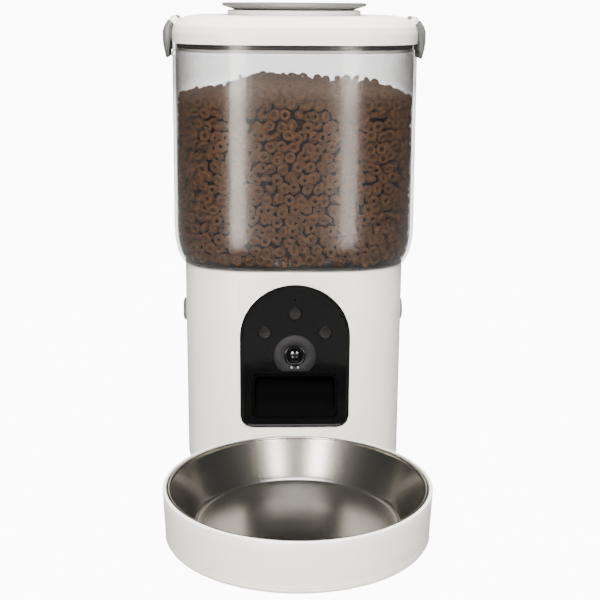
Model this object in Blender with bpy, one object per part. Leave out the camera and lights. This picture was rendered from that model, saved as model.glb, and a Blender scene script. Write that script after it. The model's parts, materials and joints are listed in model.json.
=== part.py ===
"""A pet feeder with a camera: a clear hopper over a motor base, with a steel bowl on a tray.

Metres, +Z up, and the front with its camera and outlet towards -Y. Heights are measured
from the surface that the feeder stands on. Pieces are drawn about the body's own upright
axis, and one empty carries them all to the origin, which lies under the middle of the
whole feeder, bowl included.
"""

import math

import bmesh
import bpy
from mathutils import Matrix, Vector

# The body's plan is a superellipse: a power of 2 is an ellipse, a high one a rectangle.
SECTION_POWER = 3.5
RUN_GAP = 0.0003
CUT_OVERRUN = 0.002
WELD_WITHIN = 0.000001

# Feet and bottom cover
FOOT_HEIGHT = 0.003
FOOT_RADIUS = 0.008
FOOT_TAPER = 0.001
FOOT_FROM_SIDE = 0.018
FOOT_FROM_END = 0.040
COVER_THICKNESS = 0.004
COVER_INSET = 0.0006
SCREW_ACROSS_SHARE = 0.79069767
SCREW_ALONG_SHARE = 0.73684211
SCREW_RADIUS = 0.0015
SCREW_HEAD_RADIUS = 0.0032
SCREW_HEAD_HEIGHT = 0.002
SCREW_LENGTH = 0.012
SCREW_SLOT_WIDTH = 0.0009
SCREW_SLOT_DEPTH = 0.0008

# Base housing
BASE_HALF_WIDTH = 0.086
BASE_HALF_DEPTH = 0.076
BASE_TOP = 0.1664
BASE_WALL = 0.0026
BASE_EDGE = 0.0015
BOSS_RADIUS = 0.0045
BOSS_HEIGHT = 0.03
WELL_FROM_WALL = 0.016
WELL_WALL = 0.0025
WELL_DEPTH = 0.0324
WELL_FLOOR_THICKNESS = 0.0025

# Front panel, an arch over a rectangle
PANEL_HALF_WIDTH = 0.042
PANEL_BOTTOM = 0.0422
PANEL_BELOW_DECK = 0.0097
PANEL_CORNER = 0.0095
PANEL_SET_BACK = 0.0018
PANEL_BEVEL = 0.0007
PANEL_RIM_WIDTH = 0.0024
PANEL_RIM_RISE = 0.0007
PANEL_THICKNESS = 0.0024
PANEL_FLANGE = 0.0035
PANEL_FLANGE_THICKNESS = 0.0018
PANEL_FLANGE_SET_BACK = 0.0056
PANEL_SKIRT = 0.002
MICROPHONE_HOLE_RADIUS = 0.0008
MICROPHONE_RISE_SHARE = 0.8917
PANEL_POST_RADIUS = 0.0015
BUTTON_POST_UPPER_X = 0.0265
BUTTON_POST_UPPER_RISE = 0.0026
BUTTON_POST_LOWER_X = 0.012
BUTTON_POST_LOWER_DROP = 0.0027
CAMERA_POST_X = 0.0185
CAMERA_POST_RISE = 0.008

# Buttons on the panel
BUTTON_RADIUS = 0.005
BUTTON_STANDS_OUT = 0.0005
BUTTON_EDGE = 0.0006
BUTTON_FLANGE = 0.0012
BUTTON_FLANGE_THICKNESS = 0.0009
BUTTON_STEM_RADIUS = 0.0018
BUTTON_TRAVEL = 0.0012
BUTTON_SPREAD = 0.023
BUTTON_UPPER_RISE_SHARE = 0.7991
BUTTON_LOWER_RISE_SHARE = 0.6681

# Camera
CAMERA_RISE_SHARE = 0.5074
CAMERA_DISC_RADIUS = 0.0164
CAMERA_DISC_ABOVE_OUTLET = 0.0019
CAMERA_DISC_THICKNESS = 0.003
CAMERA_DISC_STANDS_OUT = 0.0004
CAMERA_FUNNEL_RADIUS = 0.0104
CAMERA_FUNNEL_DEPTH = 0.0012
CAMERA_HOLE_RADIUS = 0.0077
BARREL_RADIUS = 0.0073
BARREL_BORE_RADIUS = 0.0048
BARREL_LIP = 0.0012
BARREL_LENGTH = 0.0135
LENS_DOME = 0.0016
LENS_THICKNESS = 0.0025
LENS_SET_BACK = 0.0022
LED_RADIUS = 0.0010
LED_SPREAD = 0.0025
LED_DROP_SHARE = 0.746
LED_LENGTH = 0.006

# Circuit boards
BOARD_THICKNESS = 0.0016
CAMERA_BOARD_HALF_WIDTH = 0.0205
CAMERA_BOARD_HEIGHT = 0.024
BUTTON_BOARD_HALF_WIDTH = 0.030
BUTTON_BOARD_BELOW_BUTTONS = 0.0052
BUTTON_BOARD_ABOVE_BUTTONS = 0.0058
SWITCH_HALF_WIDTH = 0.003
SWITCH_HEIGHT = 0.0016
MAIN_BOARD_FROM_BAY_SIDE = 0.0125
MAIN_BOARD_FROM_BAY_FRONT = 0.012
MAIN_BOARD_FROM_BAY_REAR = 0.003
RADIO_WIDTH_SHARE = 0.45
RADIO_DEPTH = 0.025
RADIO_HEIGHT = 0.003
CAPACITOR_RADIUS = 0.004
CAPACITOR_HEIGHT = 0.010
PLUG_BLOCK_WIDTH_SHARE = 0.3
PLUG_BLOCK_PITCH_SHARE = 0.375
PLUG_BLOCK_DEPTH = 0.006
PLUG_BLOCK_HEIGHT = 0.007

# Outlet and food chute
OUTLET_HALF_WIDTH = 0.033
OUTLET_TOP_SHARE = 0.3808
OUTLET_LEDGE_SHARE = 0.2376
OUTLET_BOTTOM_SHARE = 0.0655
OUTLET_CORNER = 0.004
CHUTE_WALL = 0.0018
CHUTE_INLET_HALF_WIDTH = 0.021
CHUTE_FROM_GEAR = 0.00145
CHUTE_INLET_FROM_PAN = 0.0063
CHUTE_BEND_UNDER_PAN = 0.040
CHUTE_BEND_DROP = 0.008
CHUTE_LEDGE_DEPTH = 0.013
CHUTE_NARROWING = 0.0015
CHUTE_CORNER = 0.005

# Release buttons in the base's sides
RELEASE_RADIUS = 0.00975
RELEASE_UNDER_DECK = 0.0479
RELEASE_STANDS_OUT = 0.0032
RELEASE_EDGE = 0.0022
RELEASE_FLANGE = 0.0015
RELEASE_FLANGE_THICKNESS = 0.0012
RELEASE_TRAVEL = 0.0025
RELEASE_ARM_HALF_WIDTH = 0.005
RELEASE_ARM_THICKNESS = 0.0025
RELEASE_ARM_SET_IN = 0.0095
RELEASE_ARM_UNDER_DECK = 0.0064
RELEASE_NOSE_HEIGHT = 0.004

# Hopper
HOPPER_OVERHANG = 0.008
HOPPER_HEIGHT = 0.166
HOPPER_DRAFT = 0.001
HOPPER_WALL = 0.0024
HOPPER_FLOOR = 0.003
HOPPER_ROUND_HEIGHT = 0.026
HOPPER_TAB_HALF_WIDTH = 0.006
HOPPER_TAB_THICKNESS = 0.002
HOPPER_TAB_LENGTH = 0.015
HOPPER_TAB_SET_IN = 0.0045
CATCH_HALF_WIDTH = 0.010
CATCH_DROP = 0.008
CATCH_HEIGHT = 0.003
CATCH_STANDS_OUT = 0.0014

# Dosing pan, paddle wheel and shield
PAN_FROM_WELL = 0.0025
PAN_WALL = 0.0022
PAN_OVER_WELL_FLOOR = 0.004
PAN_FLOOR_THICKNESS = 0.0025
PAN_FLANGE = 0.008
PAN_FLANGE_THICKNESS = 0.002
PAN_BOSS_HOLE = 0.0068
PADDLE_BLADES = 6
PADDLE_TIP_GAP = 0.0008
PADDLE_HEIGHT = 0.021
PADDLE_BLADE_THICKNESS = 0.0024
PADDLE_HUB_RADIUS = 0.011
PADDLE_CONE_HEIGHT = 0.011
PADDLE_CONE_TIP = 0.003
PADDLE_BOSS_RADIUS = 0.0062
SOCKET_HALF_WIDTH = 0.0034
SOCKET_DEPTH = 0.014
SHIELD_THICKNESS = 0.002
SHIELD_HALF_ANGLE = math.radians(42)
SHIELD_HUB_CLEARANCE = 0.003

# Drive
SPINDLE_HALF_WIDTH = 0.003
SPINDLE_LENGTH = 0.013
SHAFT_RADIUS = 0.0045
SHAFT_COLLAR_RADIUS = 0.007
SHAFT_COLLAR_HEIGHT = 0.002
BUSH_WALL = 0.0018
BUSH_FLANGE = 0.0015
BUSH_FLANGE_THICKNESS = 0.0008
GEAR_MODULE = 0.00125
GEAR_PRESSURE = math.radians(20)
GEAR_ROOT_SHARE = 1.25
GEAR_FLANK_SHARES = (0, 0.5, 1)
GEAR_TEETH = 36
PINION_TEETH = 14
GEAR_BACKLASH = 0.00035
GEAR_THICKNESS = 0.006
GEAR_UNDER_WELL = 0.0045
GEAR_HUB_RADIUS = 0.0085
GEAR_RIM_WIDTH = 0.004
GEAR_WEB_RECESS = 0.0025
MOTOR_SHAFT_RADIUS = 0.0025
GEARBOX_RADIUS = 0.018
GEARBOX_HEIGHT = 0.021
MOTOR_RADIUS = 0.0145
MOTOR_CLEARANCE = 0.0005
MOTOR_END_RADIUS = 0.005
MOTOR_END_HEIGHT = 0.002
BRACKET_THICKNESS = 0.002
BRACKET_MARGIN = 0.004
BRACKET_POST_RADIUS = 0.003
BRACKET_POST_CLEARANCE = 0.0016

# Battery bay
BAY_FROM_SIDE = 0.0335
BAY_FRONT = 0.000
BAY_FROM_REAR = 0.011
BAY_HEIGHT = 0.037
BAY_WALL = 0.002
BAY_STANDOFF_RADIUS = 0.003
BAY_STANDOFF_HEIGHT = 0.005
DOOR_MARGIN = 0.0045
DOOR_THICKNESS = 0.002
DOOR_DOVETAIL = 0.0012
DOOR_GRIP_HALF_WIDTH = 0.012
DOOR_GRIP_DEPTH = 0.0008
DOOR_GRIP_LENGTH = 0.0016
DOOR_GRIP_STEP = 0.0032
DOOR_GRIPS = 4
CONTACT_THICKNESS = 0.0005
CONTACT_MARGIN = 0.004
CONTACT_COIL_RADIUS = 0.006
CONTACT_COIL_HEIGHT = 0.003

# Loudspeaker and power socket
SPEAKER_RADIUS = 0.014
SPEAKER_DEPTH = 0.006
SPEAKER_MAGNET_RADIUS = 0.008
SPEAKER_MAGNET_DEPTH = 0.004
SPEAKER_CONE_DEPTH = 0.002
SPEAKER_RIM = 0.0015
SPEAKER_UNDER_DECK = 0.0614
GRILLE_SLOTS = 5
GRILLE_PITCH = 0.0042
GRILLE_SLOT_HEIGHT = 0.0018
SOCKET_FROM_SIDE = 0.041
SOCKET_Z = 0.060
SOCKET_BODY_HALF_WIDTH = 0.0055
SOCKET_BODY_DEPTH = 0.013
SOCKET_FACE_RADIUS = 0.0045
SOCKET_BORE_RADIUS = 0.0029
SOCKET_BORE_DEPTH = 0.009

# Lid
LID_SET_IN = 0.001
LID_HEIGHT = 0.0197
LID_WALL = 0.0024
LID_SHOULDER_WIDTH = 0.016
LID_SHOULDER_HEIGHT = 0.012
PLUG_DEPTH = 0.0062
PLUG_WALL = 0.002
PLUG_UNDER_LID = 0.0112
PLUG_FLOOR = 0.002
PLUG_FLANGE_THICKNESS = 0.0018
GASKET_HEIGHT = 0.0036
GASKET_WIDTH = 0.0024
GASKET_FIN = 0.0007

# Desiccant cap on the lid
NECK_FROM_SHOULDER = 0.0157
NECK_WIDTH = 0.0058
NECK_HEIGHT = 0.0038
NECK_SEAT_DEPTH = 0.0012
CAP_OVER_NECK = 0.0042
CAP_UNDER_WIDENING = 0.001
CAP_RIM_HEIGHT = 0.0022
CAP_HEIGHT = 0.0051
CAP_EDGE = 0.0007
CAP_GRIP_DEPTH = 0.0012
CAP_GRIP_SPREAD_SHARE = 0.4036
CAP_GRIP_LENGTH_SHARE = 0.5766
CAP_GRIP_DEPTH_SHARE = 0.2306
CAP_GRIP_SLOPE_SHARE = 0.9
CUP_FROM_NECK = 0.002
CUP_WALL = 0.0018
CUP_FLOOR = 0.0018
CUP_ABOVE_RIM = 0.0005
CUP_SLOTS = 8
CUP_SLOT_WIDTH = 0.0022
CUP_SLOT_INNER_SHARE = 0.3218
CUP_SLOT_OUTER_SHARE = 0.8276

# Side latches
LATCH_HALF_WIDTH = 0.016
LATCH_THICKNESS = 0.0052
LATCH_GAP = 0.0022
LATCH_SHOULDER_GAP = 0.0007
LATCH_PIN_SHARE = 0.42
LATCH_PIN_RADIUS = 0.0012
LATCH_BARREL_RADIUS = 0.0022
LATCH_BARREL_GAP = 0.0004
LATCH_INNER_SHARES = (0.0, 0.16, 0.32)
LATCH_OUTER_SHARES = (0.14, 0.28)
LATCH_UNDER_LID = 0.0068
LATCH_LIP_UNDER_LID = 0.0125
LATCH_LIP_THICKNESS = 0.0022
LATCH_LIP_SET_IN = 0.0021
LATCH_LOWER_SET_IN = 0.0006
LATCH_EAR_THICKNESS = 0.003
LATCH_EAR_RADIUS = 0.0026
LATCH_EAR_ROOT_SHARE = 0.13

# Bowl tray and steel bowl
TRAY_RADIUS = 0.094
TRAY_TOP = 0.0377
TRAY_GAP = 0.0005
TRAY_WALL = 0.0022
TRAY_DRAFT = 0.0012
TRAY_ROUND = 0.008
TRAY_FLOOR = 0.0025
TRAY_LIFT = 0.0008
TRAY_EDGE = 0.0009
TRAY_SEAT_DROP = 0.0014
TRAY_SEAT_WIDTH = 0.0022
TRAY_PAD_RADIUS = 0.007
TRAY_PADS = 3
TRAY_PAD_CIRCLE_SHARE = 0.72
TRAY_PAD_TURN_SHARE = 0.25
TONGUE_HALF_WIDTH = 0.028
TONGUE_REACH = 0.011
TONGUE_THICKNESS = 0.003
TONGUE_Z = 0.012
BOWL_THICKNESS = 0.0009
BOWL_RIM_ROLL = 0.0011
BOWL_WALL_RUN = 0.0205
BOWL_FLOOR_ABOVE_TRAY = 0.0052
BOWL_BEAD_RADIUS = 0.0016
BOWL_DOME = 0.0012
BOWL_DOME_RADIUS_SHARE = 0.5
BOWL_DOME_RISE_SHARE = 0.75
BOWL_FLARE_SHARE = 0.4

# Facets
BODY_POINTS = 40
BOWL_STEPS = 44
WELL_STEPS = 30
CAP_STEPS = 34
ROUND_STEPS = 12
SMALL_STEPS = 8
SCREW_STEPS = 8
ARCH_STEPS = 14
CAMERA_STEPS = 22
CORNER_STEPS = 4
FOOT_STEPS = 4
SHOULDER_STEPS = 4
HIDDEN_SHOULDER_STEPS = 2
ROLL_STEPS = 3

# Places that follow from the sizes above: plan
BAY_HALF_WIDTH = BASE_HALF_WIDTH - BAY_FROM_SIDE
BAY_DEPTH = BASE_HALF_DEPTH - BAY_FROM_REAR - BAY_FRONT
BAY_REAR = BAY_FRONT + BAY_DEPTH
FOOT_X = BASE_HALF_WIDTH - FOOT_FROM_SIDE
FOOT_Y = BASE_HALF_DEPTH - FOOT_FROM_END
SCREW_X = BASE_HALF_WIDTH * SCREW_ACROSS_SHARE
SCREW_Y = BASE_HALF_DEPTH * SCREW_ALONG_SHARE
SOCKET_X = BASE_HALF_WIDTH - SOCKET_FROM_SIDE
MAIN_BOARD_HALF_WIDTH = BAY_HALF_WIDTH - MAIN_BOARD_FROM_BAY_SIDE
MAIN_BOARD_REAR = BAY_REAR - MAIN_BOARD_FROM_BAY_REAR
MAIN_BOARD_DEPTH = MAIN_BOARD_REAR - BAY_FRONT - MAIN_BOARD_FROM_BAY_FRONT
WELL_RADIUS = min(BASE_HALF_WIDTH, BASE_HALF_DEPTH) - WELL_FROM_WALL
PAN_RADIUS = WELL_RADIUS - PAN_FROM_WELL
PAN_BORE = PAN_RADIUS - PAN_WALL
CHUTE_INLET_FAR = PAN_BORE - CHUTE_INLET_FROM_PAN
CHUTE_INLET_NEAR = GEAR_MODULE * (GEAR_TEETH / 2 + 1) + CHUTE_FROM_GEAR + CHUTE_WALL
HOPPER_HALF_WIDTH = BASE_HALF_WIDTH + HOPPER_OVERHANG
HOPPER_HALF_DEPTH = BASE_HALF_DEPTH + HOPPER_OVERHANG
LID_HALF_WIDTH = HOPPER_HALF_WIDTH - LID_SET_IN
LID_HALF_DEPTH = HOPPER_HALF_DEPTH - LID_SET_IN
NECK_RADIUS = min(LID_HALF_WIDTH, LID_HALF_DEPTH) - LID_SHOULDER_WIDTH - NECK_FROM_SHOULDER
NECK_BORE_RADIUS = NECK_RADIUS - NECK_WIDTH
CAP_RADIUS = NECK_RADIUS + CAP_OVER_NECK
CAP_UNDER_RADIUS = NECK_BORE_RADIUS + CAP_UNDER_WIDENING
CUP_RADIUS = NECK_BORE_RADIUS - CUP_FROM_NECK
SHAFT_DISTANCE = GEAR_MODULE * (GEAR_TEETH + PINION_TEETH) / 2
TRAY_CENTRE = -(BASE_HALF_DEPTH + TRAY_GAP + TRAY_RADIUS)
BODY_Y = (TRAY_RADIUS - TRAY_CENTRE - HOPPER_HALF_DEPTH) / 2
PANEL_FACE = -(BASE_HALF_DEPTH - PANEL_SET_BACK)
PANEL_PLATE_FACE = PANEL_FACE + PANEL_RIM_RISE
PANEL_PLATE_BACK = PANEL_PLATE_FACE + PANEL_THICKNESS
PANEL_FLANGE_FACE = -(BASE_HALF_DEPTH - PANEL_FLANGE_SET_BACK)
PANEL_BACK = PANEL_FLANGE_FACE + PANEL_FLANGE_THICKNESS

# Heights that follow from the sizes above
COVER_TOP = FOOT_HEIGHT + COVER_THICKNESS
HOUSING_BOTTOM = COVER_TOP + RUN_GAP
BAY_TOP = COVER_TOP + BAY_HEIGHT
MAIN_BOARD_LOW = BAY_TOP + BAY_WALL + BAY_STANDOFF_HEIGHT + RUN_GAP
MAIN_BOARD_TOP = MAIN_BOARD_LOW + BOARD_THICKNESS
RELEASE_Z = BASE_TOP - RELEASE_UNDER_DECK
RELEASE_ARM_TOP = BASE_TOP - RELEASE_ARM_UNDER_DECK
SPEAKER_Z = BASE_TOP - SPEAKER_UNDER_DECK
WELL_FLOOR_TOP = BASE_TOP - WELL_DEPTH
WELL_FLOOR_UNDER = WELL_FLOOR_TOP - WELL_FLOOR_THICKNESS
PAN_FLOOR_TOP = WELL_FLOOR_TOP + PAN_OVER_WELL_FLOOR
PAN_UNDER = PAN_FLOOR_TOP - PAN_FLOOR_THICKNESS
CHUTE_BEND_Z = PAN_FLOOR_TOP - CHUTE_BEND_UNDER_PAN
PANEL_HEIGHT = BASE_TOP - PANEL_BELOW_DECK - PANEL_BOTTOM
OUTLET_TOP = PANEL_BOTTOM + PANEL_HEIGHT * OUTLET_TOP_SHARE
OUTLET_LEDGE = PANEL_BOTTOM + PANEL_HEIGHT * OUTLET_LEDGE_SHARE
OUTLET_BOTTOM = PANEL_BOTTOM + PANEL_HEIGHT * OUTLET_BOTTOM_SHARE
CAMERA_Z = PANEL_BOTTOM + PANEL_HEIGHT * CAMERA_RISE_SHARE
CAMERA_DISC_DROP = CAMERA_Z - OUTLET_TOP - CAMERA_DISC_ABOVE_OUTLET
LED_DROP = CAMERA_DISC_DROP * LED_DROP_SHARE
BUTTON_UPPER_Z = PANEL_BOTTOM + PANEL_HEIGHT * BUTTON_UPPER_RISE_SHARE
BUTTON_LOWER_Z = PANEL_BOTTOM + PANEL_HEIGHT * BUTTON_LOWER_RISE_SHARE
MICROPHONE_Z = PANEL_BOTTOM + PANEL_HEIGHT * MICROPHONE_RISE_SHARE
HOPPER_BOTTOM = BASE_TOP + RUN_GAP
HOPPER_TOP = HOPPER_BOTTOM + HOPPER_HEIGHT
HOPPER_FLOOR_TOP = HOPPER_BOTTOM + HOPPER_FLOOR
PAN_RIM_TOP = HOPPER_FLOOR_TOP + RUN_GAP + PAN_FLANGE_THICKNESS
GEAR_TOP = WELL_FLOOR_UNDER - GEAR_UNDER_WELL
GEAR_BOTTOM = GEAR_TOP - GEAR_THICKNESS
BRACKET_TOP = GEAR_BOTTOM - SHAFT_COLLAR_HEIGHT - RUN_GAP
BRACKET_UNDER = BRACKET_TOP - BRACKET_THICKNESS
GEARBOX_TOP = BRACKET_UNDER - RUN_GAP
LID_BOTTOM = HOPPER_TOP + RUN_GAP
LID_TOP = LID_BOTTOM + LID_HEIGHT
NECK_TOP = LID_TOP + NECK_HEIGHT
CAP_BOTTOM = NECK_TOP + RUN_GAP
CAP_TOP = CAP_BOTTOM + CAP_HEIGHT
CUP_BOTTOM = LID_BOTTOM + CUP_ABOVE_RIM
LATCH_BOTTOM = LID_BOTTOM - LATCH_UNDER_LID
LATCH_LIP_BOTTOM = LID_BOTTOM - LATCH_LIP_UNDER_LID
BOWL_FLOOR_Z = TRAY_LIFT + TRAY_FLOOR + BOWL_FLOOR_ABOVE_TRAY


def material(name, colour, roughness, metallic=0.0, alpha=1.0):
    made = bpy.data.materials.new(name)
    made.use_nodes = True
    shader = made.node_tree.nodes["Principled BSDF"]
    shader.inputs["Base Color"].default_value = (*colour, 1.0)
    shader.inputs["Roughness"].default_value = roughness
    shader.inputs["Metallic"].default_value = metallic
    shader.inputs["Alpha"].default_value = alpha
    return made


def circle(radius, z, steps, centre=(0.0, 0.0)):
    """A ring of points, anticlockwise from +X."""
    return [
        Vector((
            centre[0] + radius * math.cos(math.tau * i / steps),
            centre[1] + radius * math.sin(math.tau * i / steps),
            z,
        ))
        for i in range(steps)
    ]


def body_section(half_width, half_depth, z):
    """The body's superellipse at one height."""
    ring = []
    for i in range(BODY_POINTS):
        across = math.cos(math.tau * i / BODY_POINTS)
        along = math.sin(math.tau * i / BODY_POINTS)
        x = half_width * math.copysign(abs(across) ** (2 / SECTION_POWER), across)
        y = half_depth * math.copysign(abs(along) ** (2 / SECTION_POWER), along)
        ring.append(Vector((x, y, z)))
    return ring


def base_section(inset, z):
    return body_section(BASE_HALF_WIDTH - inset, BASE_HALF_DEPTH - inset, z)


def rounded_rectangle(half_width, half_height, corner):
    """A flat outline (x, y) about its centre, anticlockwise from the lower right corner."""
    corner = min(corner, half_width, half_height)
    outline = []
    for side_x, side_y, start in ((1, -1, 270), (1, 1, 0), (-1, 1, 90), (-1, -1, 180)):
        centre = Vector((side_x * (half_width - corner), side_y * (half_height - corner)))
        for i in range(CORNER_STEPS):
            turn = math.radians(start + 90 * i / (CORNER_STEPS - 1))
            outline.append(centre + corner * Vector((math.cos(turn), math.sin(turn))))
    return outline


def arch(offset, y):
    """The panel's outline grown by an offset, in an upright plane, seen from the front."""
    half_width = PANEL_HALF_WIDTH + offset
    bottom = PANEL_BOTTOM - offset
    spring = PANEL_BOTTOM + PANEL_HEIGHT - PANEL_HALF_WIDTH
    corner = PANEL_CORNER + offset
    outline = []
    for i in range(ARCH_STEPS + 1):
        turn = math.pi * i / ARCH_STEPS
        outline.append((half_width * math.cos(turn), spring + half_width * math.sin(turn)))
    for side, start in ((-1, 180), (1, 270)):
        for i in range(CORNER_STEPS):
            turn = math.radians(start + 90 * i / (CORNER_STEPS - 1))
            x = side * (half_width - corner) + corner * math.cos(turn)
            outline.append((x, bottom + corner + corner * math.sin(turn)))
    return [Vector((x, y, z)) for x, z in outline]


def loft(rings, closed=False):
    """A solid skinned over rings with equal counts of points, capped unless it closes on itself."""
    bm = bmesh.new()
    loops = [[bm.verts.new(point) for point in ring] for ring in rings]
    for near, far in zip(loops, loops[1:] + (loops[:1] if closed else [])):
        for i in range(len(near)):
            j = (i + 1) % len(near)
            bm.faces.new((near[i], near[j], far[j], far[i]))
    if not closed:
        bm.faces.new(loops[0][::-1])
        bm.faces.new(loops[-1])
    bmesh.ops.recalc_face_normals(bm, faces=bm.faces)
    return bm


def turned(profile, steps, centre=(0.0, 0.0)):
    """A solid spun about an upright axis from its (radius, height) half section."""
    bm = bmesh.new()
    corners = [bm.verts.new((radius, 0, z)) for radius, z in profile]
    edges = [
        bm.edges.new(ends)
        for ends in zip(corners, corners[1:] + corners[:1])
        if ends[0].co.x > 0 or ends[1].co.x > 0
    ]
    bmesh.ops.spin(
        bm, geom=corners + edges, axis=(0, 0, 1), cent=(0, 0, 0), dvec=(0, 0, 0),
        angle=math.tau, steps=steps, use_merge=True, use_duplicate=False,
    )
    bmesh.ops.remove_doubles(bm, verts=bm.verts, dist=WELD_WITHIN)
    bmesh.ops.recalc_face_normals(bm, faces=bm.faces)
    bmesh.ops.translate(bm, verts=bm.verts, vec=(centre[0], centre[1], 0))
    return bm


def laid_along_y(bm, x, y, z):
    """Tips a piece drawn upright so that its top faces the front, and sets its foot at a place."""
    tip = Matrix.Translation((x, y, z)) @ Matrix.Rotation(math.radians(90), 4, "X")
    bmesh.ops.transform(bm, matrix=tip, verts=bm.verts)
    return bm


def laid_along_x(bm, side, x, y, z):
    """Tips a piece drawn upright so that its top faces one side, and sets its foot at a place."""
    tip = Matrix.Translation((x, y, z)) @ Matrix.Rotation(math.radians(90 * side), 4, "Y")
    bmesh.ops.transform(bm, matrix=tip, verts=bm.verts)
    return bm


def disc(radius, z_low, z_high, steps=ROUND_STEPS, centre=(0.0, 0.0)):
    return loft([circle(radius, z, steps, centre) for z in (z_low, z_high)])


def block(x_low, x_high, y_low, y_high, z_low, z_high):
    corners = ((x_low, y_low), (x_high, y_low), (x_high, y_high), (x_low, y_high))
    return loft([[Vector((x, y, z)) for x, y in corners] for z in (z_low, z_high)])


def rounded_block(half_width, half_depth, corner, z_low, z_high, centre=(0.0, 0.0)):
    outline = rounded_rectangle(half_width, half_depth, corner)
    return loft([
        [Vector((centre[0] + p.x, centre[1] + p.y, z)) for p in outline]
        for z in (z_low, z_high)
    ])


def together(*meshes):
    """Several bmeshes as one, still as separate bodies."""
    whole = meshes[0]
    for extra in meshes[1:]:
        held = bpy.data.meshes.new("held")
        extra.to_mesh(held)
        extra.free()
        whole.from_mesh(held)
        bpy.data.meshes.remove(held)
    return whole


def piece(name, bm, finish=None, origin=(0.0, 0.0, 0.0), smooth_under=math.radians(35)):
    """An object whose origin is at a place of the body's frame, carried by the feeder's empty."""
    bmesh.ops.translate(bm, verts=bm.verts, vec=-Vector(origin))
    mesh = bpy.data.meshes.new(name)
    bm.to_mesh(mesh)
    bm.free()
    mesh.shade_smooth()
    mesh.set_sharp_from_angle(angle=smooth_under)
    made = bpy.data.objects.new(name, mesh)
    made.location = origin
    made.parent = FRAME
    if finish:
        mesh.materials.append(finish)
    bpy.context.scene.collection.objects.link(made)
    return made


def shape_with(made, operation, bm):
    """Joins a solid to a piece or cuts it away, as a live Boolean."""
    label = f"{made.name}_{operation.lower()}_{len(made.modifiers)}"
    helper = piece(label, bm, origin=made.location)
    helper.hide_render = True
    helper.display_type = "WIRE"
    modifier = made.modifiers.new(operation.title(), "BOOLEAN")
    modifier.operation = operation
    modifier.solver = "EXACT"
    modifier.object = helper
    return made


def add(made, *meshes):
    return shape_with(made, "UNION", together(*meshes))


def cut(made, *meshes):
    return shape_with(made, "DIFFERENCE", together(*meshes))


def four_corners(x, y):
    return {
        "front_left": (-x, -y), "front_right": (x, -y),
        "rear_left": (-x, y), "rear_right": (x, y),
    }


def make_feet():
    for corner, centre in four_corners(FOOT_X, FOOT_Y).items():
        foot = turned(
            [(0, 0), (FOOT_RADIUS - FOOT_TAPER, 0), (FOOT_RADIUS, FOOT_HEIGHT - RUN_GAP),
             (0, FOOT_HEIGHT - RUN_GAP)],
            SMALL_STEPS, centre,
        )
        piece(f"foot_{corner}", foot, RUBBER)


def make_base_cover():
    cover = piece(
        "base_cover",
        loft([
            base_section(COVER_INSET + COVER_THICKNESS / 4, FOOT_HEIGHT),
            base_section(COVER_INSET, FOOT_HEIGHT + COVER_THICKNESS / 4),
            base_section(COVER_INSET, COVER_TOP),
        ]),
        WHITE_PLASTIC,
    )
    cutters = [
        block(-BAY_HALF_WIDTH, BAY_HALF_WIDTH, BAY_FRONT, BAY_REAR,
              FOOT_HEIGHT - CUT_OVERRUN, COVER_TOP + CUT_OVERRUN),
    ]
    for centre in four_corners(SCREW_X, SCREW_Y).values():
        cutters.append(disc(SCREW_RADIUS + RUN_GAP, FOOT_HEIGHT, COVER_TOP + CUT_OVERRUN,
                            SCREW_STEPS, centre))
        cutters.append(disc(SCREW_HEAD_RADIUS + RUN_GAP, FOOT_HEIGHT - CUT_OVERRUN,
                            FOOT_HEIGHT + SCREW_HEAD_HEIGHT + RUN_GAP, SCREW_STEPS, centre))
    cut(cover, cutters[0])
    cut(cover, *cutters[1::2])
    cut(cover, *cutters[2::2])
    cut(cover, door_prism(RUN_GAP, BAY_FRONT - DOOR_MARGIN - RUN_GAP,
                          BASE_HALF_DEPTH + CUT_OVERRUN, CUT_OVERRUN))
    return cover


def door_prism(gap, y_low, y_high, sink=0.0):
    """The battery door's dovetail section, drawn along the depth and grown by a gap."""
    low = FOOT_HEIGHT + RUN_GAP - gap
    high = FOOT_HEIGHT + RUN_GAP + DOOR_THICKNESS + gap
    mouth = BAY_HALF_WIDTH + DOOR_MARGIN - DOOR_DOVETAIL + gap
    root = BAY_HALF_WIDTH + DOOR_MARGIN + gap
    slope = (root - mouth) / (high - low)
    wide_low = mouth - slope * sink
    section = ((-wide_low, low - sink), (wide_low, low - sink), (root, high), (-root, high))
    return loft([[Vector((x, y, z)) for x, z in section] for y in (y_low, y_high)])


def make_battery_door():
    door = piece(
        "battery_door",
        door_prism(0.0, BAY_FRONT - DOOR_MARGIN,
                   rear_wall_at(BAY_HALF_WIDTH + DOOR_MARGIN) - COVER_INSET - 2 * RUN_GAP),
        WHITE_PLASTIC,
    )
    grips = []
    for i in range(DOOR_GRIPS):
        y = BAY_REAR - DOOR_GRIP_STEP * (i + 1)
        low = FOOT_HEIGHT + RUN_GAP
        grips.append(block(-DOOR_GRIP_HALF_WIDTH, DOOR_GRIP_HALF_WIDTH, y - DOOR_GRIP_LENGTH / 2,
                           y + DOOR_GRIP_LENGTH / 2, low - CUT_OVERRUN, low + DOOR_GRIP_DEPTH))
    cut(door, *grips)


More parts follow.
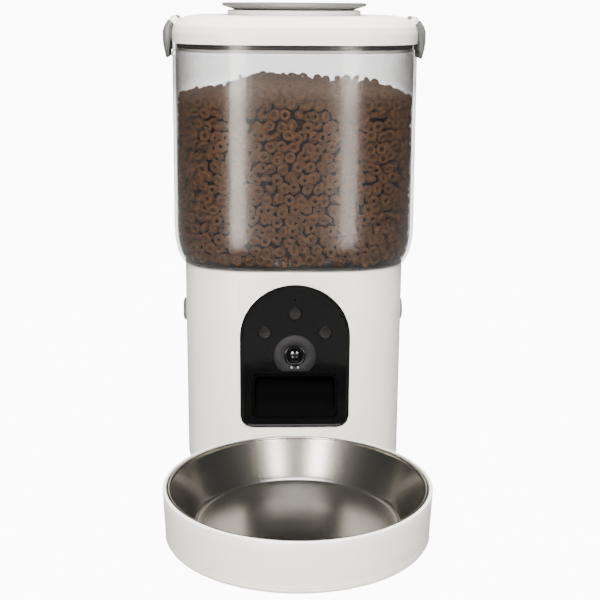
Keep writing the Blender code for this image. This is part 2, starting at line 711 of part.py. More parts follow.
def make_cover_screws():
    for corner, centre in four_corners(SCREW_X, SCREW_Y).items():
        head_top = FOOT_HEIGHT + SCREW_HEAD_HEIGHT
        screw = piece(
            f"cover_screw_{corner}",
            turned(
                [(0, FOOT_HEIGHT + RUN_GAP), (SCREW_HEAD_RADIUS, FOOT_HEIGHT + RUN_GAP),
                 (SCREW_HEAD_RADIUS, head_top), (SCREW_RADIUS, head_top),
                 (SCREW_RADIUS, FOOT_HEIGHT + SCREW_LENGTH), (0, FOOT_HEIGHT + SCREW_LENGTH)],
                SCREW_STEPS, centre,
            ),
            STEEL,
        )
        slot_top = FOOT_HEIGHT + RUN_GAP + SCREW_SLOT_DEPTH
        bars = [
            block(centre[0] - a, centre[0] + a, centre[1] - b, centre[1] + b,
                  FOOT_HEIGHT - CUT_OVERRUN, slot_top)
            for a, b in ((SCREW_RADIUS, SCREW_SLOT_WIDTH / 2), (SCREW_SLOT_WIDTH / 2, SCREW_RADIUS))
        ]
        for bar in bars:
            cut(screw, bar)


def make_base_housing():
    """The white moulding: walls, the deck that the hopper stands on and the well for its pan."""
    deck_under = BASE_TOP - BASE_WALL
    housing = piece(
        "base_housing",
        loft([
            base_section(0.0, HOUSING_BOTTOM),
            base_section(0.0, BASE_TOP - BASE_EDGE),
            base_section(BASE_EDGE / 3, BASE_TOP - BASE_EDGE / 3),
            base_section(BASE_EDGE, BASE_TOP),
        ]),
        WHITE_PLASTIC,
    )
    cut(housing, loft([
        base_section(BASE_WALL, HOUSING_BOTTOM - CUT_OVERRUN),
        base_section(BASE_WALL, deck_under),
    ]))
    add(housing, disc(WELL_RADIUS + WELL_WALL, WELL_FLOOR_UNDER, deck_under + BASE_WALL / 2,
                      WELL_STEPS))
    bosses = [
        disc(BOSS_RADIUS, HOUSING_BOTTOM, HOUSING_BOTTOM + BOSS_HEIGHT, SMALL_STEPS, centre)
        for centre in four_corners(SCREW_X, SCREW_Y).values()
    ]
    add(housing, *bosses)
    cut(housing, disc(WELL_RADIUS, WELL_FLOOR_TOP, BASE_TOP + CUT_OVERRUN, WELL_STEPS))
    screw_holes = [
        disc(SCREW_RADIUS + RUN_GAP, HOUSING_BOTTOM - CUT_OVERRUN,
             FOOT_HEIGHT + SCREW_LENGTH + CUT_OVERRUN, SCREW_STEPS, centre)
        for centre in four_corners(SCREW_X, SCREW_Y).values()
    ]
    tongue_slot = block(
        -TONGUE_HALF_WIDTH - RUN_GAP, TONGUE_HALF_WIDTH + RUN_GAP,
        -BASE_HALF_DEPTH - CUT_OVERRUN, -BASE_HALF_DEPTH + BASE_WALL + CUT_OVERRUN,
        TONGUE_Z - RUN_GAP, TONGUE_Z + TONGUE_THICKNESS + RUN_GAP,
    )
    cut(housing, *screw_holes, tongue_slot)
    cut(housing, loft([
        arch(0.0, -BASE_HALF_DEPTH - CUT_OVERRUN),
        arch(0.0, PANEL_FLANGE_FACE + CUT_OVERRUN),
    ]))
    inlet = chute_ring(0, -RUN_GAP)
    top = max(point.z for point in inlet) + CUT_OVERRUN
    bush_hole = disc(SHAFT_RADIUS + RUN_GAP + BUSH_WALL + RUN_GAP, WELL_FLOOR_UNDER - CUT_OVERRUN,
                     WELL_FLOOR_TOP + CUT_OVERRUN, ROUND_STEPS)
    cut(
        housing,
        loft([[Vector((p.x, p.y, z)) for p in inlet] for z in (WELL_FLOOR_UNDER - CUT_OVERRUN, top)]),
        bush_hole,
        *[release_hole(side) for side in (-1, 1)],
        *[tab_slot(side) for side in (-1, 1)],
        *grille_slots(),
        socket_hole(),
    )


def release_hole(side):
    hole = disc(RELEASE_RADIUS + RUN_GAP, 0.0, BASE_WALL * 2 + CUT_OVERRUN * 2)
    return laid_along_x(hole, side, side * (BASE_HALF_WIDTH - 2 * BASE_WALL - CUT_OVERRUN),
                        0.0, RELEASE_Z)


def tab_slot(side):
    """The deck's slot for the hopper's tab, wide enough for the release arm beside it."""
    outer = BASE_HALF_WIDTH - HOPPER_TAB_SET_IN + RUN_GAP
    inner = BASE_HALF_WIDTH - RELEASE_ARM_SET_IN - RELEASE_ARM_THICKNESS - RELEASE_TRAVEL - RUN_GAP
    x_low, x_high = sorted((side * inner, side * outer))
    half = HOPPER_TAB_HALF_WIDTH + RUN_GAP
    return block(x_low, x_high, -half, half, BASE_TOP - 2 * BASE_WALL, BASE_TOP + CUT_OVERRUN)


def grille_slots():
    slots = []
    for i in range(GRILLE_SLOTS):
        rise = (i - (GRILLE_SLOTS - 1) / 2) * GRILLE_PITCH
        reach = SPEAKER_RADIUS - SPEAKER_RIM * 2
        half = math.sqrt(max(reach ** 2 - rise ** 2, GRILLE_PITCH ** 2))
        z = SPEAKER_Z + rise
        slots.append(block(-half, half, BASE_HALF_DEPTH - 2 * BASE_WALL,
                           BASE_HALF_DEPTH + CUT_OVERRUN, z - GRILLE_SLOT_HEIGHT / 2,
                           z + GRILLE_SLOT_HEIGHT / 2))
    return slots


def socket_hole():
    hole = disc(SOCKET_FACE_RADIUS + RUN_GAP, 0.0, 2 * BASE_WALL + 2 * CUT_OVERRUN)
    return laid_along_y(hole, SOCKET_X, BASE_HALF_DEPTH + CUT_OVERRUN, SOCKET_Z)


def chute_stations():
    """(half width, floor point, roof point) down the chute, as (y, z), from its inlet to its mouth."""
    ledge_y = PANEL_FACE + CHUTE_LEDGE_DEPTH
    top = PAN_UNDER - RUN_GAP
    mouth_y = PANEL_PLATE_FACE + RUN_GAP
    return (
        (CHUTE_INLET_HALF_WIDTH, (-CHUTE_INLET_NEAR, top), (-CHUTE_INLET_FAR, top)),
        (CHUTE_INLET_HALF_WIDTH, (-CHUTE_INLET_NEAR, CHUTE_BEND_Z),
         (-CHUTE_INLET_FAR, CHUTE_BEND_Z - CHUTE_BEND_DROP)),
        (OUTLET_HALF_WIDTH - CHUTE_NARROWING - CHUTE_WALL, (ledge_y, OUTLET_LEDGE),
         (ledge_y, OUTLET_TOP - CHUTE_WALL)),
        (OUTLET_HALF_WIDTH - CHUTE_WALL - RUN_GAP, (mouth_y, OUTLET_BOTTOM + CHUTE_WALL + RUN_GAP),
         (mouth_y, OUTLET_TOP - CHUTE_WALL - RUN_GAP)),
    )


def chute_ring(station, inset):
    """The chute's outer outline at a station, drawn in by an inset from its outer face."""
    half_width, floor_point, roof_point = chute_stations()[station]
    foot = Vector((0, *floor_point))
    rise = Vector((0, *roof_point)) - foot
    up = rise.normalized()
    grow = CHUTE_WALL - inset
    corner = CHUTE_CORNER + grow - CHUTE_WALL
    outline = rounded_rectangle(half_width + grow, rise.length / 2 + grow, corner)
    middle = foot + rise / 2
    return [middle + Vector((p.x, 0, 0)) + up * p.y for p in outline]


def make_food_chute():
    stations = range(len(chute_stations()))
    outer = [chute_ring(i, 0.0) for i in stations]
    inner = [chute_ring(i, CHUTE_WALL) for i in reversed(stations)]
    piece("food_chute", loft(outer + inner, closed=True), BLACK_PLASTIC)


def through_panel(radius, x, z, steps=ROUND_STEPS):
    """A round cutter through the front panel's plate."""
    length = PANEL_PLATE_BACK - PANEL_FACE + 2 * CUT_OVERRUN
    return laid_along_y(disc(radius, 0.0, length, steps), x, PANEL_PLATE_BACK + CUT_OVERRUN, z)


def camera_outline(radius, drop, y):
    """The camera disc's round outline, cut flat below where the outlet starts."""
    half_cut = math.asin(min(drop / radius, 1.0))
    start = -half_cut
    sweep = math.pi + 2 * half_cut
    return [
        Vector((
            radius * math.cos(start + sweep * i / CAMERA_STEPS),
            y,
            CAMERA_Z + radius * math.sin(start + sweep * i / CAMERA_STEPS),
        ))
        for i in range(CAMERA_STEPS + 1)
    ]


def button_places():
    return {
        "top": (0.0, BUTTON_UPPER_Z),
        "left": (-BUTTON_SPREAD, BUTTON_LOWER_Z),
        "right": (BUTTON_SPREAD, BUTTON_LOWER_Z),
    }


def panel_posts():
    """Posts from the panel's back that stop just short of the button board and the camera board."""
    places = [(x, z, button_board_face()) for x, z in (
        (BUTTON_POST_UPPER_X, BUTTON_UPPER_Z + BUTTON_POST_UPPER_RISE),
        (BUTTON_POST_LOWER_X, BUTTON_LOWER_Z - BUTTON_POST_LOWER_DROP))]
    places += [(CAMERA_POST_X, CAMERA_Z + rise, camera_board_face())
               for rise in (-CAMERA_POST_RISE, CAMERA_POST_RISE)]
    root = PANEL_PLATE_BACK - PANEL_THICKNESS / 2
    return [
        laid_along_y(disc(PANEL_POST_RADIUS, 0.0, face - RUN_GAP - root, SMALL_STEPS),
                     side * x, face - RUN_GAP, z)
        for x, z, face in places for side in (-1, 1)
    ]


def make_front_panel():
    skirt = -PANEL_SKIRT
    panel = piece(
        "front_panel",
        loft([
            arch(skirt, PANEL_PLATE_BACK),
            arch(skirt, PANEL_BACK),
            arch(PANEL_FLANGE, PANEL_BACK),
            arch(PANEL_FLANGE, PANEL_FLANGE_FACE),
            arch(-RUN_GAP, PANEL_FLANGE_FACE),
            arch(-RUN_GAP, PANEL_FACE + PANEL_BEVEL),
            arch(-RUN_GAP - PANEL_BEVEL, PANEL_FACE),
            arch(-RUN_GAP - PANEL_BEVEL * 2, PANEL_FACE),
            arch(-PANEL_RIM_WIDTH, PANEL_PLATE_FACE),
        ]),
        GLOSS_BLACK,
    )
    add(panel, *panel_posts())
    outlet_middle = (OUTLET_TOP + OUTLET_BOTTOM) / 2
    outline = rounded_rectangle(OUTLET_HALF_WIDTH, (OUTLET_TOP - OUTLET_BOTTOM) / 2, OUTLET_CORNER)
    outlet = loft([
        [Vector((p.x, y, outlet_middle + p.y)) for p in outline]
        for y in (PANEL_FACE - CUT_OVERRUN, PANEL_PLATE_BACK + CUT_OVERRUN)
    ])
    camera = loft([
        camera_outline(CAMERA_DISC_RADIUS + RUN_GAP, CAMERA_DISC_DROP + RUN_GAP, y)
        for y in (PANEL_FACE - CUT_OVERRUN, PANEL_PLATE_BACK + CUT_OVERRUN)
    ])
    holes = [through_panel(BUTTON_RADIUS + RUN_GAP, x, z) for x, z in button_places().values()]
    holes.append(through_panel(MICROPHONE_HOLE_RADIUS, 0.0, MICROPHONE_Z, SCREW_STEPS))
    cut(panel, outlet, camera, *holes)


def make_buttons():
    face = PANEL_PLATE_FACE - BUTTON_STANDS_OUT
    flange_front = PANEL_PLATE_BACK + RUN_GAP
    stem_end = button_switch_face() - BUTTON_TRAVEL - RUN_GAP
    flange_back = flange_front + BUTTON_FLANGE_THICKNESS
    for name, (x, z) in button_places().items():
        length = stem_end - face
        cap = turned(
            [(0, 0), (BUTTON_STEM_RADIUS, 0), (BUTTON_STEM_RADIUS, stem_end - flange_back),
             (BUTTON_RADIUS + BUTTON_FLANGE, stem_end - flange_back),
             (BUTTON_RADIUS + BUTTON_FLANGE, stem_end - flange_front),
             (BUTTON_RADIUS, stem_end - flange_front), (BUTTON_RADIUS, length - BUTTON_EDGE),
             (BUTTON_RADIUS - BUTTON_EDGE, length), (0, length - BUTTON_EDGE / 2)],
            ROUND_STEPS,
        )
        piece(f"button_{name}", laid_along_y(cap, x, stem_end, z), SATIN_BLACK, (x, face, z))


def button_board_face():
    return button_switch_face() + SWITCH_HEIGHT


def button_switch_face():
    """Where the switches' tops lie: behind the buttons' flanges, with room for their travel."""
    return PANEL_PLATE_BACK + RUN_GAP + BUTTON_FLANGE_THICKNESS + 2 * BUTTON_TRAVEL + RUN_GAP


def make_button_board():
    face = button_board_face()
    switches = [
        block(x - SWITCH_HALF_WIDTH, x + SWITCH_HALF_WIDTH, face - SWITCH_HEIGHT,
              face + BOARD_THICKNESS / 2, z - SWITCH_HALF_WIDTH, z + SWITCH_HALF_WIDTH)
        for x, z in button_places().values()
    ]
    board = piece(
        "button_board",
        block(-BUTTON_BOARD_HALF_WIDTH, BUTTON_BOARD_HALF_WIDTH, face, face + BOARD_THICKNESS,
              BUTTON_LOWER_Z - BUTTON_BOARD_BELOW_BUTTONS,
              BUTTON_UPPER_Z + BUTTON_BOARD_ABOVE_BUTTONS),
        GREEN_BOARD,
    )
    add(board, *switches)


def camera_barrel_end():
    face = PANEL_PLATE_FACE - CAMERA_DISC_STANDS_OUT
    return face + CAMERA_FUNNEL_DEPTH / 2 + BARREL_LENGTH


def camera_board_face():
    return camera_barrel_end() + RUN_GAP


def make_camera():
    """The disc, the lens barrel with its glass, two infrared LEDs and the board behind them."""
    face = PANEL_PLATE_FACE - CAMERA_DISC_STANDS_OUT
    back = face + CAMERA_DISC_THICKNESS
    disc_piece = piece(
        "camera_disc",
        loft([
            camera_outline(CAMERA_DISC_RADIUS - BUTTON_EDGE, CAMERA_DISC_DROP - BUTTON_EDGE, face),
            camera_outline(CAMERA_DISC_RADIUS, CAMERA_DISC_DROP, face + BUTTON_EDGE),
            camera_outline(CAMERA_DISC_RADIUS, CAMERA_DISC_DROP, back),
        ]),
        SATIN_BLACK,
    )
    funnel = turned(
        [(0, -CUT_OVERRUN), (CAMERA_HOLE_RADIUS, -CUT_OVERRUN),
         (CAMERA_HOLE_RADIUS, CAMERA_DISC_THICKNESS - CAMERA_FUNNEL_DEPTH),
         (CAMERA_FUNNEL_RADIUS, CAMERA_DISC_THICKNESS),
         (CAMERA_FUNNEL_RADIUS, CAMERA_DISC_THICKNESS + CUT_OVERRUN),
         (0, CAMERA_DISC_THICKNESS + CUT_OVERRUN)],
        ROUND_STEPS,
    )
    cut(disc_piece, laid_along_y(funnel, 0.0, back, CAMERA_Z))
    led_holes = [
        laid_along_y(
            disc(LED_RADIUS + RUN_GAP, 0.0, CAMERA_DISC_THICKNESS + 2 * CUT_OVERRUN, SCREW_STEPS),
            side * LED_SPREAD, back + CUT_OVERRUN, CAMERA_Z - LED_DROP,
        )
        for side in (-1, 1)
    ]
    cut(disc_piece, *led_holes)
    barrel_end = camera_barrel_end()
    barrel = turned(
        [(0, 0), (BARREL_RADIUS, 0), (BARREL_RADIUS, BARREL_LENGTH - BARREL_LIP / 2),
         (BARREL_RADIUS - BARREL_LIP / 2, BARREL_LENGTH),
         (BARREL_BORE_RADIUS + BARREL_LIP, BARREL_LENGTH),
         (BARREL_BORE_RADIUS, BARREL_LENGTH - BARREL_LIP),
         (BARREL_BORE_RADIUS, BARREL_LENGTH - LENS_SET_BACK - LENS_THICKNESS - RUN_GAP),
         (0, BARREL_LENGTH - LENS_SET_BACK - LENS_THICKNESS - RUN_GAP)],
        ROUND_STEPS,
    )
    piece("camera_barrel", laid_along_y(barrel, 0.0, barrel_end, CAMERA_Z), SATIN_BLACK)
    lens_radius = BARREL_BORE_RADIUS - RUN_GAP
    dome = [
        (lens_radius * math.cos(math.pi * i / CORNER_STEPS / 2),
         LENS_THICKNESS - LENS_DOME + LENS_DOME * math.sin(math.pi * i / CORNER_STEPS / 2))
        for i in range(CORNER_STEPS)
    ]
    lens = turned([(0, 0), (lens_radius, 0), *dome, (0, LENS_THICKNESS)], ROUND_STEPS)
    lens_foot = barrel_end - (BARREL_LENGTH - LENS_SET_BACK - LENS_THICKNESS)
    piece("camera_lens", laid_along_y(lens, 0.0, lens_foot, CAMERA_Z), LENS_GLASS)
    for side, name in ((-1, "left"), (1, "right")):
        led = turned(
            [(0, 0), (LED_RADIUS, 0), (LED_RADIUS, LED_LENGTH - LED_RADIUS / 2),
             (LED_RADIUS / 2, LED_LENGTH), (0, LED_LENGTH)],
            SCREW_STEPS,
        )
        laid_along_y(led, side * LED_SPREAD, face + LED_LENGTH, CAMERA_Z - LED_DROP)
        piece(f"infrared_led_{name}", led, LED_CLEAR)
    board_face = camera_board_face()
    top = CAMERA_Z + CAMERA_BOARD_HEIGHT / 2
    piece(
        "camera_board",
        block(-CAMERA_BOARD_HALF_WIDTH, CAMERA_BOARD_HALF_WIDTH, board_face,
              board_face + BOARD_THICKNESS, top - CAMERA_BOARD_HEIGHT, top),
        GREEN_BOARD,
    )


def make_release_button(side, name):
    """A sprung button whose arm reaches up beside the hopper's tab."""
    wall_inside = BASE_HALF_WIDTH - BASE_WALL
    foot = BASE_HALF_WIDTH - RELEASE_ARM_SET_IN - RELEASE_ARM_THICKNESS
    flange_outer = wall_inside - RUN_GAP - foot
    flange_inner = flange_outer - RELEASE_FLANGE_THICKNESS
    length = BASE_HALF_WIDTH + RELEASE_STANDS_OUT - foot
    cap = turned(
        [(0, 0), (RELEASE_ARM_HALF_WIDTH, 0), (RELEASE_ARM_HALF_WIDTH, flange_inner),
         (RELEASE_RADIUS + RELEASE_FLANGE, flange_inner),
         (RELEASE_RADIUS + RELEASE_FLANGE, flange_outer), (RELEASE_RADIUS, flange_outer),
         (RELEASE_RADIUS, length - RELEASE_EDGE),
         (RELEASE_RADIUS - RELEASE_EDGE / 3, length - RELEASE_EDGE / 3),
         (RELEASE_RADIUS - RELEASE_EDGE, length), (0, length)],
        ROUND_STEPS,
    )
    origin = (side * BASE_HALF_WIDTH, 0.0, RELEASE_Z)
    button = piece(f"release_button_{name}", laid_along_x(cap, side, side * foot, 0.0, RELEASE_Z),
                   GREY_PLASTIC, origin)
    tab_inside = BASE_HALF_WIDTH - HOPPER_TAB_SET_IN - HOPPER_TAB_THICKNESS
    half = RELEASE_ARM_HALF_WIDTH - RUN_GAP
    arm_low, arm_high = sorted((side * foot, side * (foot + RELEASE_ARM_THICKNESS)))
    nose_low, nose_high = sorted((side * (foot + RELEASE_ARM_THICKNESS / 2),
                                  side * (tab_inside - RUN_GAP)))
    add(button, block(arm_low, arm_high, -half, half, RELEASE_Z, RELEASE_ARM_TOP))
    nose_z = RELEASE_ARM_TOP - RELEASE_NOSE_HEIGHT
    add(button, block(nose_low, nose_high, -half, half, nose_z, RELEASE_ARM_TOP - RUN_GAP))


def hopper_section(inset, z):
    """The hopper's outline, which draws in a little towards its mouth."""
    height = max(z - HOPPER_BOTTOM - HOPPER_ROUND_HEIGHT, 0.0)
    span = HOPPER_TOP - HOPPER_BOTTOM - HOPPER_ROUND_HEIGHT
    draw = inset + HOPPER_DRAFT * height / span
    return body_section(HOPPER_HALF_WIDTH - draw, HOPPER_HALF_DEPTH - draw, z)


def hopper_foot(inset, floor):
    """Rings up the hopper's rounded foot, from a floor height to where it has its full width."""
    overhang = HOPPER_HALF_WIDTH - BASE_HALF_WIDTH
    start = math.acos(1 - floor / HOPPER_ROUND_HEIGHT)
    rings = []
    for i in range(FOOT_STEPS + 1):
        turn = start + (math.pi / 2 - start) * i / FOOT_STEPS
        z = HOPPER_BOTTOM + HOPPER_ROUND_HEIGHT * (1 - math.cos(turn))
        rings.append(hopper_section(inset + overhang * (1 - math.sin(turn)), z))
    return rings


def make_hopper():
    outer = hopper_foot(0.0, 0.0) + [hopper_section(0.0, HOPPER_TOP)]
    inner = hopper_foot(HOPPER_WALL, HOPPER_FLOOR) + [hopper_section(HOPPER_WALL, HOPPER_TOP)]
    hopper = piece("hopper", loft(outer + inner[::-1]), CLEAR_PLASTIC, (0.0, 0.0, HOPPER_BOTTOM))
    cut(hopper, disc(PAN_RADIUS + RUN_GAP, HOPPER_BOTTOM - CUT_OVERRUN,
                     HOPPER_BOTTOM + HOPPER_ROUND_HEIGHT, WELL_STEPS))
    fittings = []
    for side in (-1, 1):
        outside = BASE_HALF_WIDTH - HOPPER_TAB_SET_IN
        x_low, x_high = sorted((side * (outside - HOPPER_TAB_THICKNESS), side * outside))
        fittings.append(block(x_low, x_high, -HOPPER_TAB_HALF_WIDTH, HOPPER_TAB_HALF_WIDTH,
                              HOPPER_BOTTOM - HOPPER_TAB_LENGTH, HOPPER_BOTTOM + HOPPER_FLOOR / 2))
        face = HOPPER_HALF_WIDTH - HOPPER_DRAFT
        x_low, x_high = sorted((side * (face - HOPPER_WALL / 2),
                                side * (face + CATCH_STANDS_OUT)))
        top = HOPPER_TOP - CATCH_DROP
        fittings.append(block(x_low, x_high, -CATCH_HALF_WIDTH, CATCH_HALF_WIDTH,
                              top - CATCH_HEIGHT, top))
    add(hopper, *fittings)


def make_dosing_pan():
    seat = HOPPER_FLOOR_TOP + RUN_GAP
    pan = piece(
        "dosing_pan",
        turned(
            [(PAN_BOSS_HOLE, PAN_UNDER), (PAN_RADIUS, PAN_UNDER), (PAN_RADIUS, seat),
             (PAN_RADIUS + PAN_FLANGE, seat), (PAN_RADIUS + PAN_FLANGE, seat + PAN_FLANGE_THICKNESS / 2),
             (PAN_RADIUS, PAN_RIM_TOP), (PAN_BORE, PAN_RIM_TOP - PAN_FLANGE_THICKNESS / 2),
             (PAN_BORE, PAN_FLOOR_TOP), (PAN_BOSS_HOLE, PAN_FLOOR_TOP)],
            WELL_STEPS,
        ),
        WHITE_PLASTIC,
        (0.0, 0.0, PAN_UNDER),
    )
    mouth = chute_ring(0, CHUTE_WALL)
    cut(pan, loft([
        [Vector((p.x, p.y, z)) for p in mouth]
        for z in (PAN_UNDER - CUT_OVERRUN, PAN_FLOOR_TOP + CUT_OVERRUN)
    ]))


def make_paddle_wheel():
    low = PAN_FLOOR_TOP + RUN_GAP * 2
    high = low + PADDLE_HEIGHT
    wheel = piece(
        "paddle_wheel",
        turned(
            [(0, PAN_UNDER + RUN_GAP), (PADDLE_BOSS_RADIUS, PAN_UNDER + RUN_GAP),
             (PADDLE_BOSS_RADIUS, low), (PADDLE_HUB_RADIUS, low), (PADDLE_HUB_RADIUS, high),
             (PADDLE_CONE_TIP, high + PADDLE_CONE_HEIGHT), (0, high + PADDLE_CONE_HEIGHT)],
            ROUND_STEPS,
        ),
        GREY_PLASTIC,
        (0.0, 0.0, low),
    )
    reach = PAN_BORE - PADDLE_TIP_GAP
    half = PADDLE_BLADE_THICKNESS / 2
    for i in range(PADDLE_BLADES // 2):
        blade = block(-reach, reach, -half, half, low, high)
        turn = Matrix.Rotation(math.pi * i / (PADDLE_BLADES // 2), 4, "Z")
        bmesh.ops.transform(blade, matrix=turn, verts=blade.verts)
        add(wheel, blade)
    cut(wheel, block(-SOCKET_HALF_WIDTH, SOCKET_HALF_WIDTH, -SOCKET_HALF_WIDTH, SOCKET_HALF_WIDTH,
                     PAN_UNDER - CUT_OVERRUN, WELL_FLOOR_TOP + SOCKET_DEPTH))


def make_outlet_shield():
    """A sector over the paddle wheel that keeps food from falling straight down the outlet."""
    low = PAN_FLOOR_TOP + RUN_GAP * 2 + PADDLE_HEIGHT + RUN_GAP * 2
    inner = PADDLE_HUB_RADIUS + SHIELD_HUB_CLEARANCE
    outer = PAN_BORE - RUN_GAP
    steps = ROUND_STEPS // 2
    angles = [
        -math.pi / 2 - SHIELD_HALF_ANGLE + 2 * SHIELD_HALF_ANGLE * i / steps
        for i in range(steps + 1)
    ]
    outline = [(outer * math.cos(a), outer * math.sin(a)) for a in angles]
    outline += [(inner * math.cos(a), inner * math.sin(a)) for a in reversed(angles)]
    piece(
        "outlet_shield",
        loft([[Vector((x, y, z)) for x, y in outline] for z in (low, low + SHIELD_THICKNESS)]),
        GREY_PLASTIC,
    )


def gear_outline(teeth, turn):
    """An involute gear's outline (x, y), with its teeth narrowed for backlash."""
    pitch_radius = GEAR_MODULE * teeth / 2
    base_radius = pitch_radius * math.cos(GEAR_PRESSURE)
    tip_radius = pitch_radius + GEAR_MODULE
    root_radius = pitch_radius - GEAR_ROOT_SHARE * GEAR_MODULE
    involute = math.tan(GEAR_PRESSURE) - GEAR_PRESSURE
    half_tooth = math.pi / 2 / teeth + involute - GEAR_BACKLASH / 2 / pitch_radius
    flank = []
    start = max(base_radius, root_radius)
    for share in GEAR_FLANK_SHARES:
        radius = start + (tip_radius - start) * share
        angle = math.acos(min(base_radius / radius, 1.0))
        flank.append((radius, half_tooth - (math.tan(angle) - angle)))
    foot = (root_radius, flank[0][1])
    flank = [foot] + (flank if base_radius - root_radius > GEAR_MODULE / 4 else flank[1:])
    outline = []
    for i in range(teeth):
        middle = turn + math.tau * i / teeth
        outline += [(r * math.cos(middle - a), r * math.sin(middle - a)) for r, a in flank]
        outline += [(r * math.cos(middle + a), r * math.sin(middle + a)) for r, a in flank[::-1]]
    return outline


def gear_solid(teeth, turn, centre, z_low, z_high):
    outline = gear_outline(teeth, turn)
    return loft([
        [Vector((centre[0] + x, centre[1] + y, z)) for x, y in outline]
        for z in (z_low, z_high)
    ])


def make_drive():
    """The spindle and its gear on the feeder's axis, and the motor's pinion in mesh behind it."""
    gear = piece("drive_gear", gear_solid(GEAR_TEETH, math.pi / 2, (0.0, 0.0), GEAR_BOTTOM, GEAR_TOP),
                 WHITE_NYLON, (0.0, 0.0, GEAR_BOTTOM))
    web_outer = GEAR_MODULE * GEAR_TEETH / 2 - GEAR_RIM_WIDTH
    low = GEAR_TOP - GEAR_WEB_RECESS
    high = GEAR_TOP + CUT_OVERRUN
    cut(gear, turned([(GEAR_HUB_RADIUS, low), (web_outer, low), (web_outer, high),
                      (GEAR_HUB_RADIUS, high)], ROUND_STEPS))
    cut(gear, disc(SHAFT_RADIUS + RUN_GAP, GEAR_BOTTOM - CUT_OVERRUN, GEAR_TOP + CUT_OVERRUN))
    shaft = piece(
        "drive_shaft",
        turned(
            [(0, BRACKET_UNDER), (SHAFT_RADIUS, BRACKET_UNDER),
             (SHAFT_RADIUS, GEAR_BOTTOM - SHAFT_COLLAR_HEIGHT),
             (SHAFT_COLLAR_RADIUS, GEAR_BOTTOM - SHAFT_COLLAR_HEIGHT),
             (SHAFT_COLLAR_RADIUS, GEAR_BOTTOM - RUN_GAP), (SHAFT_RADIUS, GEAR_BOTTOM - RUN_GAP),
             (SHAFT_RADIUS, WELL_FLOOR_TOP), (0, WELL_FLOOR_TOP)],
            ROUND_STEPS,
        ),
        STEEL,
        (0.0, 0.0, BRACKET_UNDER),
    )
    add(shaft, block(-SPINDLE_HALF_WIDTH, SPINDLE_HALF_WIDTH, -SPINDLE_HALF_WIDTH,
                     SPINDLE_HALF_WIDTH, WELL_FLOOR_TOP - BUSH_WALL,
                     WELL_FLOOR_TOP + SPINDLE_LENGTH))
    bore = SHAFT_RADIUS + RUN_GAP
    flange_low = WELL_FLOOR_UNDER - RUN_GAP - BUSH_FLANGE_THICKNESS
    piece(
        "spindle_bush",
        turned(
            [(bore, flange_low), (bore + BUSH_WALL + BUSH_FLANGE, flange_low),
             (bore + BUSH_WALL + BUSH_FLANGE, WELL_FLOOR_UNDER - RUN_GAP),
             (bore + BUSH_WALL, WELL_FLOOR_UNDER - RUN_GAP), (bore + BUSH_WALL, WELL_FLOOR_TOP),
             (bore, WELL_FLOOR_TOP)],
            ROUND_STEPS,
        ),
        BRASS,
    )
    centre = (0.0, SHAFT_DISTANCE)
    pinion = piece(
        "motor_pinion",
        gear_solid(PINION_TEETH, -math.pi / 2 + math.pi / PINION_TEETH, centre, GEAR_BOTTOM, GEAR_TOP),
        BRASS,
        (*centre, GEAR_BOTTOM),
    )
    cut(pinion, disc(MOTOR_SHAFT_RADIUS + RUN_GAP, GEAR_BOTTOM - CUT_OVERRUN,
                     GEAR_TOP + CUT_OVERRUN, SMALL_STEPS, centre))
    gearbox_under = GEARBOX_TOP - GEARBOX_HEIGHT
    motor_under = MAIN_BOARD_TOP + CAPACITOR_HEIGHT + MOTOR_CLEARANCE + MOTOR_END_HEIGHT
    piece(
        "gear_motor",
        turned(
            [(0, motor_under - MOTOR_END_HEIGHT), (MOTOR_END_RADIUS, motor_under - MOTOR_END_HEIGHT),
             (MOTOR_END_RADIUS, motor_under), (MOTOR_RADIUS, motor_under),
             (MOTOR_RADIUS, gearbox_under), (GEARBOX_RADIUS, gearbox_under),
             (GEARBOX_RADIUS, GEARBOX_TOP), (MOTOR_SHAFT_RADIUS, GEARBOX_TOP),
             (MOTOR_SHAFT_RADIUS, GEAR_TOP), (0, GEAR_TOP)],
            ROUND_STEPS,
            centre,
        ),
        STEEL,
    )
    make_motor_bracket(centre)


def make_motor_bracket(motor_centre):
    """A plate hung from the deck's well on four posts, which carries the shaft's foot and the motor."""
    gear_reach = GEAR_MODULE * (GEAR_TEETH / 2 + 1)
    post_x = gear_reach + BRACKET_POST_CLEARANCE + BRACKET_POST_RADIUS
    post_rear = motor_centre[1] + GEARBOX_RADIUS / 2
    half_width = post_x + BRACKET_MARGIN
    front = -SHAFT_COLLAR_RADIUS - BRACKET_MARGIN
    rear = motor_centre[1] + GEARBOX_RADIUS
    bracket = piece(
        "motor_bracket",
        rounded_block(half_width, (rear - front) / 2, BRACKET_MARGIN, BRACKET_UNDER, BRACKET_TOP,
                      (0.0, (rear + front) / 2)),
        STEEL,
    )
    posts = [
        disc(BRACKET_POST_RADIUS, BRACKET_TOP - BRACKET_THICKNESS / 2,
             WELL_FLOOR_UNDER - RUN_GAP, SMALL_STEPS, centre)
        for centre in ((-post_x, 0.0), (post_x, 0.0), (-post_x, post_rear), (post_x, post_rear))
    ]
    add(bracket, *posts)
    cut(
        bracket,
        disc(SHAFT_RADIUS + RUN_GAP, BRACKET_UNDER - CUT_OVERRUN, BRACKET_TOP + CUT_OVERRUN),
        disc(MOTOR_SHAFT_RADIUS + RUN_GAP, BRACKET_UNDER - CUT_OVERRUN,
             BRACKET_TOP + CUT_OVERRUN, SMALL_STEPS, motor_centre),
    )


